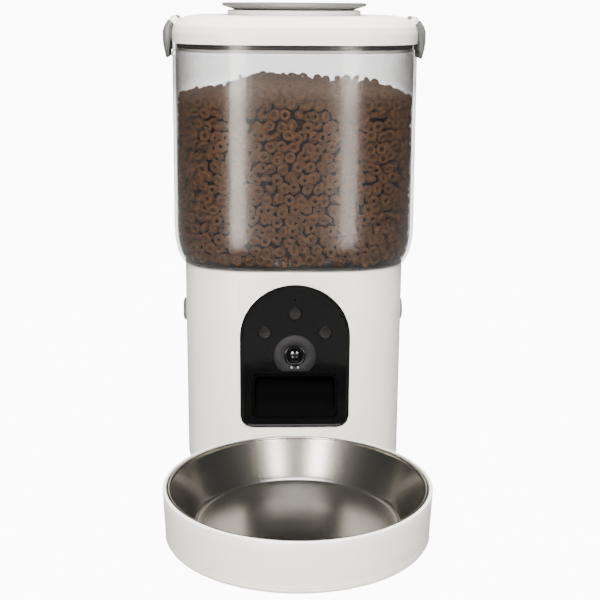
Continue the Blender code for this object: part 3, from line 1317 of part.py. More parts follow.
def make_battery_bay():
    outer_x = BAY_HALF_WIDTH + BAY_WALL
    low = COVER_TOP + RUN_GAP
    bay = piece(
        "battery_bay",
        block(-outer_x, outer_x, BAY_FRONT - BAY_WALL, BAY_REAR + BAY_WALL, low, BAY_TOP + BAY_WALL),
        BLACK_PLASTIC,
    )
    cut(bay, block(-BAY_HALF_WIDTH, BAY_HALF_WIDTH, BAY_FRONT, BAY_REAR, low - CUT_OVERRUN, BAY_TOP))
    roof = BAY_TOP + BAY_WALL
    half = MAIN_BOARD_HALF_WIDTH - 2 * BAY_STANDOFF_RADIUS
    depths = (MAIN_BOARD_REAR - 2 * BAY_STANDOFF_RADIUS,
              MAIN_BOARD_REAR - MAIN_BOARD_DEPTH + 2 * BAY_STANDOFF_RADIUS)
    add(bay, *[
        disc(BAY_STANDOFF_RADIUS, roof - BAY_WALL / 2, roof + BAY_STANDOFF_HEIGHT, SCREW_STEPS, (x, y))
        for x in (-half, half) for y in depths
    ])
    for name, face, inward in (("front", BAY_FRONT, 1), ("rear", BAY_REAR, -1)):
        y_low, y_high = sorted((face + inward * RUN_GAP, face + inward * (RUN_GAP + CONTACT_THICKNESS)))
        contact = piece(
            f"battery_contact_{name}",
            block(-BAY_HALF_WIDTH + CONTACT_MARGIN, BAY_HALF_WIDTH - CONTACT_MARGIN, y_low, y_high,
                  low + CONTACT_MARGIN, BAY_TOP - CONTACT_MARGIN),
            STEEL,
        )
        bumps = []
        middle = (low + BAY_TOP) / 2
        for i in (-1, 0, 1):
            x = i * BAY_HALF_WIDTH * 2 / 3
            bump = turned([(0, 0), (CONTACT_COIL_RADIUS, 0),
                           (CONTACT_COIL_RADIUS / 2, CONTACT_COIL_HEIGHT), (0, CONTACT_COIL_HEIGHT)],
                          SCREW_STEPS)
            tip = Matrix.Translation((x, face + inward * (RUN_GAP + CONTACT_THICKNESS / 2), middle))
            tip = tip @ Matrix.Rotation(math.radians(-90 * inward), 4, "X")
            bmesh.ops.transform(bump, matrix=tip, verts=bump.verts)
            bumps.append(bump)
        add(contact, *bumps)


def make_main_board():
    low = MAIN_BOARD_LOW
    top = MAIN_BOARD_TOP
    front = MAIN_BOARD_REAR - MAIN_BOARD_DEPTH
    board = piece(
        "main_board",
        block(-MAIN_BOARD_HALF_WIDTH, MAIN_BOARD_HALF_WIDTH, front, MAIN_BOARD_REAR, low, top),
        GREEN_BOARD,
    )
    middle = top - BOARD_THICKNESS / 2
    radio_x = MAIN_BOARD_HALF_WIDTH * (1 - RADIO_WIDTH_SHARE)
    block_width = MAIN_BOARD_HALF_WIDTH * PLUG_BLOCK_WIDTH_SHARE
    block_pitch = MAIN_BOARD_HALF_WIDTH * PLUG_BLOCK_PITCH_SHARE
    parts = [block(radio_x, MAIN_BOARD_HALF_WIDTH - CAPACITOR_RADIUS / 2, front + CAPACITOR_RADIUS,
                   front + CAPACITOR_RADIUS + RADIO_DEPTH, middle, top + RADIO_HEIGHT)]
    for i in range(2):
        centre = (-MAIN_BOARD_HALF_WIDTH + CAPACITOR_RADIUS * (2 + 3 * i),
                  MAIN_BOARD_REAR - 2 * CAPACITOR_RADIUS)
        parts.append(disc(CAPACITOR_RADIUS, middle, top + CAPACITOR_HEIGHT, SCREW_STEPS, centre))
    for i in range(3):
        x = -MAIN_BOARD_HALF_WIDTH + CAPACITOR_RADIUS + i * block_pitch
        parts.append(block(x, x + block_width, front + CAPACITOR_RADIUS / 2,
                           front + CAPACITOR_RADIUS / 2 + PLUG_BLOCK_DEPTH, middle,
                           top + PLUG_BLOCK_HEIGHT))
    add(board, *parts)


def make_loudspeaker():
    face = BASE_HALF_DEPTH - BASE_WALL - RUN_GAP
    depth = SPEAKER_DEPTH + SPEAKER_MAGNET_DEPTH
    profile = [
        (0, 0), (SPEAKER_MAGNET_RADIUS, 0), (SPEAKER_MAGNET_RADIUS, SPEAKER_MAGNET_DEPTH),
        (SPEAKER_RADIUS - SPEAKER_RIM, SPEAKER_MAGNET_DEPTH), (SPEAKER_RADIUS, depth - SPEAKER_RIM),
        (SPEAKER_RADIUS, depth), (SPEAKER_RADIUS - SPEAKER_RIM, depth),
        (SPEAKER_MAGNET_RADIUS / 2, depth - SPEAKER_CONE_DEPTH), (0, depth - SPEAKER_CONE_DEPTH),
    ]
    speaker = turned(profile, ROUND_STEPS)
    tip = Matrix.Translation((0, face - depth, SPEAKER_Z)) @ Matrix.Rotation(math.radians(-90), 4, "X")
    bmesh.ops.transform(speaker, matrix=tip, verts=speaker.verts)
    piece("loudspeaker", speaker, BLACK_PLASTIC)


def rear_wall_at(x):
    """How far back the base's outer face lies at a distance from the middle."""
    share = (abs(x) / BASE_HALF_WIDTH) ** SECTION_POWER
    return BASE_HALF_DEPTH * (1 - share) ** (1 / SECTION_POWER)


def make_power_inlet():
    wall = rear_wall_at(SOCKET_X + SOCKET_BODY_HALF_WIDTH) - BASE_WALL - 2 * RUN_GAP
    half = SOCKET_BODY_HALF_WIDTH
    inlet = piece(
        "power_inlet",
        block(SOCKET_X - half, SOCKET_X + half, wall - SOCKET_BODY_DEPTH, wall - RUN_GAP,
              SOCKET_Z - half, SOCKET_Z + half),
        BLACK_PLASTIC,
    )
    face = rear_wall_at(SOCKET_X) - RUN_GAP
    sleeve = disc(SOCKET_FACE_RADIUS, 0.0, face - wall + 2 * RUN_GAP)
    add(inlet, laid_along_y(sleeve, SOCKET_X, face, SOCKET_Z))
    bore = disc(SOCKET_BORE_RADIUS, 0.0, SOCKET_BORE_DEPTH + CUT_OVERRUN, SMALL_STEPS)
    cut(inlet, laid_along_y(bore, SOCKET_X, face + CUT_OVERRUN, SOCKET_Z))


def lid_section(inset, z):
    return body_section(LID_HALF_WIDTH - inset, LID_HALF_DEPTH - inset, z)


def lid_shoulder(inset, drop, steps):
    """Rings round the lid's shoulder, from its side to its top."""
    rings = []
    for i in range(steps + 1):
        turn = math.pi / 2 * i / steps
        inward = LID_SHOULDER_WIDTH * (1 - math.cos(turn))
        z = LID_TOP - drop - LID_SHOULDER_HEIGHT * (1 - math.sin(turn))
        rings.append(lid_section(inset + inward, z))
    return rings


def make_lid_shell():
    outer = [lid_section(0.0, LID_BOTTOM)] + lid_shoulder(0.0, 0.0, SHOULDER_STEPS)
    inner = [lid_section(LID_WALL, LID_BOTTOM)]
    inner += lid_shoulder(LID_WALL, LID_WALL, HIDDEN_SHOULDER_STEPS)
    shell = piece("lid_shell", loft(inner[::-1] + outer), WHITE_PLASTIC, (0.0, 0.0, LID_BOTTOM))
    pin = latch_pin_place()
    ears = []
    pins = []
    for side in (-1, 1):
        for end in (-1, 1):
            near = end * (LATCH_HALF_WIDTH + RUN_GAP)
            far = near + end * LATCH_EAR_THICKNESS
            ears.append(loft([
                [Vector((side * p.x, y, p.y)) for p in latch_ear_outline()] for y in (near, far)
            ]))
        half = LATCH_HALF_WIDTH + LATCH_EAR_THICKNESS + CUT_OVERRUN
        pins.append(laid_along_y(disc(LATCH_PIN_RADIUS + RUN_GAP, -half, half, SCREW_STEPS),
                                 side * pin.x, 0.0, pin.y))
    add(shell, *ears)
    cut(shell, *pins)
    cut(shell, disc(NECK_BORE_RADIUS, LID_TOP - 2 * LID_WALL, LID_TOP + CUT_OVERRUN, CAP_STEPS))
    cut(shell, turned(
        [(NECK_BORE_RADIUS - CUT_OVERRUN, LID_TOP - NECK_SEAT_DEPTH),
         (NECK_RADIUS + RUN_GAP, LID_TOP - NECK_SEAT_DEPTH),
         (NECK_RADIUS + RUN_GAP, LID_TOP + CUT_OVERRUN),
         (NECK_BORE_RADIUS - CUT_OVERRUN, LID_TOP + CUT_OVERRUN)], CAP_STEPS))


def plug_section(inset, z):
    """The plug's outline inside the hopper's mouth; no inset gives its outer face."""
    gap = HOPPER_WALL + HOPPER_DRAFT + RUN_GAP * 2 + GASKET_WIDTH / 2
    return body_section(HOPPER_HALF_WIDTH - gap - inset, HOPPER_HALF_DEPTH - gap - inset, z)


def make_lid_plug():
    low = LID_BOTTOM - PLUG_DEPTH
    floor_top = low + PLUG_FLOOR
    top = LID_TOP - PLUG_UNDER_LID
    groove_low = LID_BOTTOM - GASKET_HEIGHT - RUN_GAP
    groove = GASKET_WIDTH / 2 + RUN_GAP
    flange_low = LID_BOTTOM + RUN_GAP
    plug = piece(
        "lid_plug",
        loft([
            plug_section(0.0, low),
            plug_section(0.0, groove_low),
            plug_section(groove, groove_low),
            plug_section(groove, flange_low),
            lid_section(LID_WALL + RUN_GAP, flange_low),
            lid_section(LID_WALL + RUN_GAP, flange_low + PLUG_FLANGE_THICKNESS),
            plug_section(groove, flange_low + PLUG_FLANGE_THICKNESS),
            plug_section(groove, top),
            plug_section(groove + PLUG_WALL, top),
            plug_section(groove + PLUG_WALL, floor_top),
        ]),
        WHITE_PLASTIC,
        (0.0, 0.0, LID_BOTTOM),
    )
    cut(plug, disc(NECK_BORE_RADIUS, low - CUT_OVERRUN, floor_top + CUT_OVERRUN, CAP_STEPS))


def make_lid_gasket():
    """The dark lip seal in the plug's groove, seen through the hopper's clear rim."""
    low = LID_BOTTOM - GASKET_HEIGHT
    inner = GASKET_WIDTH / 2
    fin = -GASKET_WIDTH / 2
    middle = (low + LID_BOTTOM) / 2
    piece(
        "lid_gasket",
        loft([
            plug_section(inner, low),
            plug_section(fin + GASKET_FIN, low),
            plug_section(fin, middle),
            plug_section(fin + GASKET_FIN, LID_BOTTOM - RUN_GAP),
            plug_section(inner, LID_BOTTOM - RUN_GAP),
        ], closed=True),
        RUBBER,
        (0.0, 0.0, LID_BOTTOM),
    )


def make_desiccant_cap():
    seat = LID_TOP - NECK_SEAT_DEPTH + RUN_GAP
    piece(
        "cap_neck_ring",
        turned(
            [(NECK_BORE_RADIUS + RUN_GAP, seat), (NECK_RADIUS, seat), (NECK_RADIUS, NECK_TOP - CAP_EDGE),
             (NECK_RADIUS - CAP_EDGE, NECK_TOP), (NECK_BORE_RADIUS + RUN_GAP, NECK_TOP)],
            CAP_STEPS,
        ),
        LIGHT_GREY_PLASTIC,
        (0.0, 0.0, LID_TOP),
    )
    rim_low = CAP_TOP - CAP_RIM_HEIGHT
    cap = piece(
        "desiccant_cap",
        turned(
            [(0, CAP_BOTTOM), (CAP_UNDER_RADIUS, CAP_BOTTOM), (CAP_RADIUS, rim_low),
             (CAP_RADIUS, CAP_TOP - CAP_EDGE), (CAP_RADIUS - CAP_EDGE, CAP_TOP), (0, CAP_TOP)],
            CAP_STEPS,
        ),
        GREY_PLASTIC,
        (0.0, 0.0, CAP_BOTTOM),
    )
    grips = []
    for side in (-1, 1):
        middle = side * CAP_RADIUS * CAP_GRIP_SPREAD_SHARE
        half_depth = CAP_RADIUS * CAP_GRIP_DEPTH_SHARE
        outline = rounded_rectangle(CAP_RADIUS * CAP_GRIP_LENGTH_SHARE, half_depth, half_depth)
        grips.append(loft([
            [Vector((p.x, middle + p.y * CAP_GRIP_SLOPE_SHARE, CAP_TOP - CAP_GRIP_DEPTH)) for p in outline],
            [Vector((p.x, middle + p.y, CAP_TOP + CUT_OVERRUN)) for p in outline],
        ]))
    cut(cap, *grips)
    cup_top = CAP_BOTTOM - RUN_GAP
    cup = piece(
        "desiccant_cup",
        turned(
            [(0, CUP_BOTTOM), (CUP_RADIUS - CUP_FLOOR, CUP_BOTTOM), (CUP_RADIUS, CUP_BOTTOM + CUP_FLOOR),
             (CUP_RADIUS, cup_top), (CUP_RADIUS - CUP_WALL, cup_top),
             (CUP_RADIUS - CUP_WALL, CUP_BOTTOM + CUP_FLOOR), (0, CUP_BOTTOM + CUP_FLOOR)],
            CAP_STEPS,
        ),
        LIGHT_GREY_PLASTIC,
        (0.0, 0.0, CAP_BOTTOM),
    )
    slots = []
    for i in range(CUP_SLOTS):
        slot = block(CUP_RADIUS * CUP_SLOT_INNER_SHARE, CUP_RADIUS * CUP_SLOT_OUTER_SHARE,
                     -CUP_SLOT_WIDTH / 2, CUP_SLOT_WIDTH / 2,
                     CUP_BOTTOM - CUT_OVERRUN, CUP_BOTTOM + CUP_FLOOR + CUT_OVERRUN)
        bmesh.ops.rotate(slot, verts=slot.verts, cent=(0, 0, 0),
                         matrix=Matrix.Rotation(math.pi * (2 * i + 1) / CUP_SLOTS, 3, "Z"))
        slots.append(slot)
    cut(cup, *slots)


def over_shoulder(share, stand_off):
    """A point (x, z) out from the right shoulder of the lid, at a share of its quarter turn."""
    turn = math.pi / 2 * share
    x = LID_HALF_WIDTH - LID_SHOULDER_WIDTH * (1 - math.cos(turn))
    z = LID_TOP - LID_SHOULDER_HEIGHT * (1 - math.sin(turn))
    out = Vector((math.cos(turn) / LID_SHOULDER_WIDTH, math.sin(turn) / LID_SHOULDER_HEIGHT))
    return Vector((x, z)) + stand_off * out.normalized()


def latch_pin_place():
    return over_shoulder(LATCH_PIN_SHARE, LATCH_BARREL_RADIUS + LATCH_BARREL_GAP)


def latch_ear_outline():
    """An ear's side view (x, z): rooted in the lid's wall and rounded about the pin."""
    pin = latch_pin_place()
    out = pin - over_shoulder(LATCH_PIN_SHARE, 0.0)
    outward = math.atan2(out.y, out.x)
    arc = []
    for i in range(CORNER_STEPS + 1):
        turn = outward + math.pi * (i / CORNER_STEPS - 1 / 2)
        arc.append(pin + LATCH_EAR_RADIUS * Vector((math.cos(turn), math.sin(turn))))
    return [
        over_shoulder(LATCH_PIN_SHARE - LATCH_EAR_ROOT_SHARE, -LID_WALL / 2),
        *arc,
        over_shoulder(LATCH_PIN_SHARE + LATCH_EAR_ROOT_SHARE, -LID_WALL / 2),
    ]


def latch_section():
    """The right latch's side view (x, z), from its barrel over the shoulder and down to its lip."""
    clear = max(
        LID_HALF_WIDTH + LATCH_GAP,
        HOPPER_HALF_WIDTH - HOPPER_DRAFT + CATCH_STANDS_OUT + RUN_GAP,
    )
    outside = LID_HALF_WIDTH + LATCH_GAP + LATCH_THICKNESS
    pin_out = LATCH_BARREL_RADIUS + LATCH_BARREL_GAP
    inner = [over_shoulder(share, LATCH_SHOULDER_GAP) for share in LATCH_INNER_SHARES]
    side = LATCH_GAP + LATCH_THICKNESS
    crown = [
        over_shoulder(share, side + (pin_out + LATCH_BARREL_RADIUS - side) * share / LATCH_PIN_SHARE)
        for share in LATCH_OUTER_SHARES
    ]
    lip_outer = outside - LATCH_LIP_SET_IN
    lip_inner = lip_outer - LATCH_LIP_THICKNESS
    lip_rise = LATCH_LIP_BOTTOM + LATCH_LIP_THICKNESS / 2
    return [
        over_shoulder(LATCH_PIN_SHARE, pin_out - LATCH_BARREL_RADIUS / 2),
        *inner[::-1],
        (LID_HALF_WIDTH + LATCH_SHOULDER_GAP, LID_BOTTOM + LATCH_GAP),
        (clear, LID_BOTTOM),
        (clear, LATCH_BOTTOM),
        (lip_inner, LATCH_BOTTOM),
        (lip_inner, lip_rise),
        (lip_inner + LATCH_LIP_THICKNESS / 2, LATCH_LIP_BOTTOM),
        (lip_outer, lip_rise),
        (outside - LATCH_LOWER_SET_IN, LATCH_BOTTOM + LATCH_GAP),
        (outside, LID_BOTTOM),
        (outside, LID_TOP - LID_SHOULDER_HEIGHT),
        *crown,
        over_shoulder(LATCH_PIN_SHARE, pin_out + LATCH_BARREL_RADIUS / 2),
    ]


def make_latches():
    """Two snap latches that swing out on pins carried between ears on the lid's shoulders."""
    pin = latch_pin_place()
    for side, name in ((-1, "left"), (1, "right")):
        origin = (side * pin.x, 0.0, pin.y)
        latch = piece(
            f"latch_{name}",
            loft([
                [Vector((side * x, y, z)) for x, z in latch_section()]
                for y in (-LATCH_HALF_WIDTH, LATCH_HALF_WIDTH)
            ]),
            GREY_PLASTIC,
            origin,
        )
        reach = LATCH_HALF_WIDTH
        add(latch, laid_along_y(disc(LATCH_BARREL_RADIUS, -reach, reach), *origin))
        reach += CUT_OVERRUN
        cut(latch, laid_along_y(disc(LATCH_PIN_RADIUS + RUN_GAP, -reach, reach, SCREW_STEPS), *origin))
        half = LATCH_HALF_WIDTH + RUN_GAP + LATCH_EAR_THICKNESS
        piece(
            f"latch_pin_{name}",
            laid_along_y(disc(LATCH_PIN_RADIUS, -half, half, SCREW_STEPS), *origin),
            STEEL,
            origin,
        )


def bowl_seat_radius():
    return TRAY_RADIUS - TRAY_WALL - RUN_GAP


def bowl_top():
    return TRAY_TOP - TRAY_SEAT_DROP + BOWL_RIM_ROLL


def make_bowl_tray():
    centre = (0.0, TRAY_CENTRE)
    foot = TRAY_RADIUS - TRAY_DRAFT
    rounding = [
        (foot - TRAY_ROUND * (1 - math.sin(math.pi / 2 * i / CORNER_STEPS)),
         TRAY_LIFT + TRAY_ROUND * (1 - math.cos(math.pi / 2 * i / CORNER_STEPS)))
        for i in range(CORNER_STEPS + 1)
    ]
    seat = TRAY_RADIUS - TRAY_WALL - TRAY_SEAT_WIDTH
    seat_z = bowl_top() - 2 * BOWL_RIM_ROLL - BOWL_THICKNESS - RUN_GAP
    floor_top = TRAY_LIFT + TRAY_FLOOR
    profile = [
        (0, TRAY_LIFT), *rounding, (TRAY_RADIUS, TRAY_TOP - TRAY_EDGE),
        (TRAY_RADIUS - TRAY_EDGE / 3, TRAY_TOP - TRAY_EDGE / 3), (TRAY_RADIUS - TRAY_EDGE, TRAY_TOP),
        (TRAY_RADIUS - TRAY_WALL, TRAY_TOP), (TRAY_RADIUS - TRAY_WALL, seat_z), (seat, seat_z),
        (seat - TRAY_DRAFT, floor_top + TRAY_ROUND), (seat - TRAY_DRAFT - TRAY_ROUND / 2, floor_top),
        (0, floor_top),
    ]
    tray = piece("bowl_tray", turned(profile, BOWL_STEPS, centre), WHITE_PLASTIC,
                 (*centre, TRAY_LIFT))
    add(tray, block(-TONGUE_HALF_WIDTH, TONGUE_HALF_WIDTH, -BASE_HALF_DEPTH - TRAY_WALL - TRAY_GAP,
                    -BASE_HALF_DEPTH + TONGUE_REACH, TONGUE_Z, TONGUE_Z + TONGUE_THICKNESS))
    for i in range(TRAY_PADS):
        turn = math.tau * (i + TRAY_PAD_TURN_SHARE) / TRAY_PADS
        reach = TRAY_RADIUS * TRAY_PAD_CIRCLE_SHARE
        pad_centre = (reach * math.cos(turn), TRAY_CENTRE + reach * math.sin(turn))
        piece(f"tray_pad_{i + 1}", disc(TRAY_PAD_RADIUS, 0.0, TRAY_LIFT - RUN_GAP / 3, SMALL_STEPS,
                                        pad_centre), RUBBER)


def make_steel_bowl():
    """A pressed bowl with a rolled rim, a straight flared wall and a bead round its domed floor."""
    rim = bowl_seat_radius()
    top = bowl_top()
    roll = [
        (rim - BOWL_RIM_ROLL + BOWL_RIM_ROLL * math.cos(math.pi * i / ROLL_STEPS - math.pi / 6),
         top - BOWL_RIM_ROLL + BOWL_RIM_ROLL * math.sin(math.pi * i / ROLL_STEPS - math.pi / 6))
        for i in range(ROLL_STEPS + 1)
    ]
    wall_top = rim - 2 * BOWL_RIM_ROLL
    bead = BOWL_BEAD_RADIUS
    floor_radius = rim - BOWL_WALL_RUN
    floor = BOWL_FLOOR_Z
    upper = [
        (wall_top, top - 2 * BOWL_RIM_ROLL),
        (floor_radius + 3 * bead, floor + 2 * bead),
        (floor_radius + bead, floor - bead / 2),
        (floor_radius, floor + bead / 4),
        (floor_radius - bead, floor),
        (floor_radius * BOWL_DOME_RADIUS_SHARE, floor + BOWL_DOME * BOWL_DOME_RISE_SHARE),
        (0, floor + BOWL_DOME),
    ]
    lower = [(0 if r == 0 else r + BOWL_THICKNESS * BOWL_FLARE_SHARE, z - BOWL_THICKNESS) for r, z in upper]
    profile = [*upper, *lower[::-1], *roll]
    piece("steel_bowl", turned(profile, BOWL_STEPS, (0.0, TRAY_CENTRE)), STEEL_BRUSHED,
          (0.0, TRAY_CENTRE, BOWL_FLOOR_Z))


for old in list(bpy.data.objects):
    bpy.data.objects.remove(old, do_unlink=True)

WHITE_PLASTIC = material("white_plastic", (0.80, 0.79, 0.77), 0.42)
GREY_PLASTIC = material("grey_plastic", (0.24, 0.24, 0.225), 0.45)
LIGHT_GREY_PLASTIC = material("light_grey_plastic", (0.60, 0.58, 0.56), 0.45)
CLEAR_PLASTIC = material("clear_plastic", (0.86, 0.87, 0.88), 0.05, alpha=0.3)
GLOSS_BLACK = material("gloss_black", (0.006, 0.006, 0.006), 0.08)
SATIN_BLACK = material("satin_black", (0.02, 0.02, 0.02), 0.35)
BLACK_PLASTIC = material("black_plastic", (0.02, 0.02, 0.02), 0.5)
RUBBER = material("rubber", (0.05, 0.05, 0.05), 0.8)
STEEL_BRUSHED = material("steel_brushed", (0.62, 0.60, 0.57), 0.28, metallic=1.0)
STEEL = material("steel", (0.55, 0.55, 0.55), 0.35, metallic=1.0)
BRASS = material("brass", (0.62, 0.45, 0.2), 0.35, metallic=1.0)
WHITE_NYLON = material("white_nylon", (0.78, 0.77, 0.72), 0.5)
GREEN_BOARD = material("green_board", (0.02, 0.16, 0.06), 0.45)
LENS_GLASS = material("lens_glass", (0.02, 0.02, 0.03), 0.02)
LED_CLEAR = material("led_clear", (0.75, 0.75, 0.78), 0.1)

FRAME = bpy.data.objects.new("feeder_body_axis", None)
FRAME.location = (0.0, BODY_Y, 0.0)
bpy.context.scene.collection.objects.link(FRAME)

make_feet()
make_base_cover()
make_battery_door()
make_cover_screws()
make_base_housing()
make_food_chute()
make_front_panel()
make_buttons()
make_button_board()
make_camera()
make_release_button(-1, "left")
make_release_button(1, "right")
make_hopper()
make_dosing_pan()
make_paddle_wheel()
make_outlet_shield()
make_drive()
make_battery_bay()
make_main_board()
make_loudspeaker()
make_power_inlet()
make_lid_shell()
make_lid_plug()
make_lid_gasket()
make_desiccant_cap()
make_latches()
make_bowl_tray()
make_steel_bowl()
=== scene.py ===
# %% [markdown]
# A pet feeder with a camera, dressed for its picture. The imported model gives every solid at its
# real place and size; this lesson adds finishes, the smooth outer shells, the food and the studio.

import bisect
import json
import math

import bmesh
import bpy
import numpy as np
from mathutils import Matrix, Vector


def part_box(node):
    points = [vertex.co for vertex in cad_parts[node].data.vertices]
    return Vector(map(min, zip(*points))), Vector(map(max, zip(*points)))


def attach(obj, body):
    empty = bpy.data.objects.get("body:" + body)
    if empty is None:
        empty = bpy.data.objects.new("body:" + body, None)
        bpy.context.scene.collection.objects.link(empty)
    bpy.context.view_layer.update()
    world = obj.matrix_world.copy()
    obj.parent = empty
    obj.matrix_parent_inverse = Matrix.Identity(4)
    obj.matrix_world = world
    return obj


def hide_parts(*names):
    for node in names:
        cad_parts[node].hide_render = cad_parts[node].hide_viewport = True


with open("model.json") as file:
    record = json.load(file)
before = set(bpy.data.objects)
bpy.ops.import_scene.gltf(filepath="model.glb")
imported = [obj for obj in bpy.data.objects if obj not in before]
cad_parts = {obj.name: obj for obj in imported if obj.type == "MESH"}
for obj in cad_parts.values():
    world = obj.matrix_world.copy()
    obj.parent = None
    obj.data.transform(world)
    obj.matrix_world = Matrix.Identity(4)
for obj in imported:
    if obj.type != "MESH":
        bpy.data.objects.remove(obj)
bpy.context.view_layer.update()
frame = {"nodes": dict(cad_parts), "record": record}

# %% [markdown]
# Shader maths reads best as plain sums. A small class wraps one socket of a node and overloads the
# operators, so that `0.3 + noise * 0.1` makes the Math nodes by itself, in either order. A second
# class holds the material, and its one method makes any node with its settings and sockets.

# %% Shader sums
class Wire:
    def __init__(self, finish, socket):
        self.finish = finish
        self.socket = socket

    def sum_with(self, operation, first, second):
        return self.finish.node("ShaderNodeMath", {"operation": operation}, {0: first, 1: second})

    def __add__(self, other):
        return self.sum_with("ADD", self, other)

    def __radd__(self, other):
        return self.sum_with("ADD", other, self)

    def __sub__(self, other):
        return self.sum_with("SUBTRACT", self, other)

    def __rsub__(self, other):
        return self.sum_with("SUBTRACT", other, self)

    def __mul__(self, other):
        return self.sum_with("MULTIPLY", self, other)

    def __rmul__(self, other):
        return self.sum_with("MULTIPLY", other, self)


class Finish:
    """A material being wired: node() makes any node and hands back one of its outputs, wrapped."""

    def __init__(self, name):
        self.material = bpy.data.materials.new(name)
        self.material.use_nodes = True
        self.tree = self.material.node_tree
        self.shader = self.tree.nodes["Principled BSDF"]

    def node(self, kind, settings=None, sockets=None, output=0):
        made = self.tree.nodes.new(kind)
        for key, value in (settings or {}).items():
            setattr(made, key, value)
        for key, value in (sockets or {}).items():
            self.put(made.inputs[key], value)
        return Wire(self, made.outputs[output])

    def put(self, target, value):
        if isinstance(value, Wire):
            self.tree.links.new(value.socket, target)
        else:
            target.default_value = value

    def shade(self, **values):
        for key, value in values.items():
            self.put(self.shader.inputs[key.replace("_", " ")], value)

    def place(self):
        return self.node("ShaderNodeTexCoord", output="Object")

    def noise(self, scale, detail=2.0, vector=None):
        return self.node("ShaderNodeTexNoise", {}, {
            "Vector": vector or self.place(), "Scale": scale, "Detail": detail})

    def mixed(self, share, first, second):
        """Two colours mixed: a Mix node takes colours at its inputs 6 and 7 and gives output 2."""
        return self.node("ShaderNodeMix", {"data_type": "RGBA"}, {
            "Factor": share, 6: (*first, 1.0) if isinstance(first, tuple) else first,
            7: (*second, 1.0) if isinstance(second, tuple) else second}, output=2)

    def bump(self, height, depth):
        return self.node("ShaderNodeBump", {}, {"Height": height, "Distance": depth, "Strength": 1.0})


# %% [markdown]
# Injection moulded plastic is never one flat colour. The mould is spark eroded or polished, which
# leaves a fine grain, and the colour drifts a little with the wall's thickness. Painted textures
# would do it too, but two noises need no unwrapping, and one helper gives every opaque plastic its
# own grain, drift and gloss.

# %% Moulded plastics
CLOUDS_PER_METRE = 14.0


def moulded(name, colour, gloss, grain_size, grain_depth, drift=0.02, shine=0.5):
    finish = Finish(name)
    grain = finish.noise(1.0 / grain_size, 3.0)
    cloud = finish.noise(CLOUDS_PER_METRE)
    darker = tuple(c * (1.0 - 2.0 * drift) for c in colour)
    finish.shade(
        Base_Color=finish.mixed(cloud, darker, colour),
        Roughness=gloss - 0.05 + grain * 0.1,
        Normal=finish.bump(grain, grain_depth),
        Specular_IOR_Level=shine,
    )
    return finish.material


FINISHES = {
    "white_plastic": moulded("white_plastic", (0.84, 0.795, 0.71), 0.4, 0.0007, 0.00002),
    "grey_plastic": moulded("grey_plastic", (0.1, 0.101, 0.093), 0.5, 0.0005, 0.00004),
    "light_grey_plastic": moulded("light_grey_plastic", (0.62, 0.6, 0.57), 0.42, 0.0006, 0.00003),
    "black_plastic": moulded("black_plastic", (0.002, 0.002, 0.0022), 0.6, 0.0005, 0.00005, shine=0.0),
    "satin_black": moulded("satin_black", (0.0035, 0.0035, 0.0036), 0.36, 0.0004, 0.00003, shine=0.1),
    "matte_disc": moulded("matte_disc", (0.0125, 0.0125, 0.013), 0.55, 0.0004, 0.00003, shine=0.08),
    "gloss_black": moulded("gloss_black", (0.0025, 0.0025, 0.0026), 0.1, 0.006, 0.000003, shine=0.12),
    "white_nylon": moulded("white_nylon", (0.74, 0.73, 0.68), 0.5, 0.0008, 0.00003),
    "rubber": moulded("rubber", (0.03, 0.03, 0.0305), 0.72, 0.0004, 0.00005, shine=0.25),
    "led_clear": moulded("led_clear", (0.3, 0.3, 0.32), 0.2, 0.0008, 0.00001),
}
print(len(FINISHES), "moulded plastics")

# %% [markdown]
# The hopper is clear, slightly smoked plastic. Seen face on it hides almost nothing; seen along
# the wall it is thick, so its sides look darker. Layer Weight drives the opacity in that way, which
# is faster and cleaner than true refraction through two walls. Near the top of the food a film of
# dust veils the wall, which softens the heap. It ends below the lid.

# %% Clear plastic
DUST_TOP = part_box("lid_shell")[0].z - 0.008
DUST_LOW = 0.287
DUST_HIGH = 0.306
DUST_EDGE = 0.004
DUST_TONE = (0.085, 0.064, 0.052)
DUST_COVER = 0.85
DUST_WEIGHT = 0.12
HAZE_PER_METRE = 45.0
WALL_GLOSS = 0.19


def clear_wall(name, tint, haze_tone, least, most):
    finish = Finish(name)
    edge = finish.node("ShaderNodeLayerWeight", {}, {"Blend": 0.3}, output="Facing")
    haze = finish.noise(HAZE_PER_METRE)
    height = finish.node("ShaderNodeSeparateXYZ", {}, {"Vector": finish.place()}, output="Z")
    dust = finish.node("ShaderNodeMapRange", {"interpolation_type": "SMOOTHSTEP"}, {
        "Value": height + haze * DUST_EDGE, "From Min": DUST_LOW, "From Max": DUST_HIGH})
    clean = finish.node("ShaderNodeMapRange", {}, {
        "Value": height, "From Min": DUST_TOP, "From Max": DUST_TOP + DUST_EDGE})
    dust = dust * (1.0 - clean)
    finish.shade(
        Base_Color=finish.mixed(dust * DUST_COVER, finish.mixed(edge, tint, haze_tone), DUST_TONE),
        Alpha=least + edge * (most - least) + haze * 0.02 + dust * DUST_WEIGHT,
        Roughness=WALL_GLOSS + haze * 0.03,
        IOR=1.5,
        Specular_IOR_Level=0.5,
    )
    return finish.material


FINISHES["clear_plastic"] = clear_wall(
    "clear_plastic", (0.012, 0.011, 0.0105), (0.06, 0.054, 0.048), least=0.24, most=0.72)
print("clear plastic, dusty up to", DUST_TOP)

# %% [markdown]
# The bowl is pressed steel, polished on a lathe. The fine lines run round its axis, so the noise is
# read along the radius and the height, and only slowly round the turn. They only vary the colour
# and the gloss, because a bump this fine breaks the mirrored lights into stripes.

# %% Metals
BOWL_LOW, BOWL_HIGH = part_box("steel_bowl")
BOWL_CENTRE = (BOWL_LOW + BOWL_HIGH) / 2


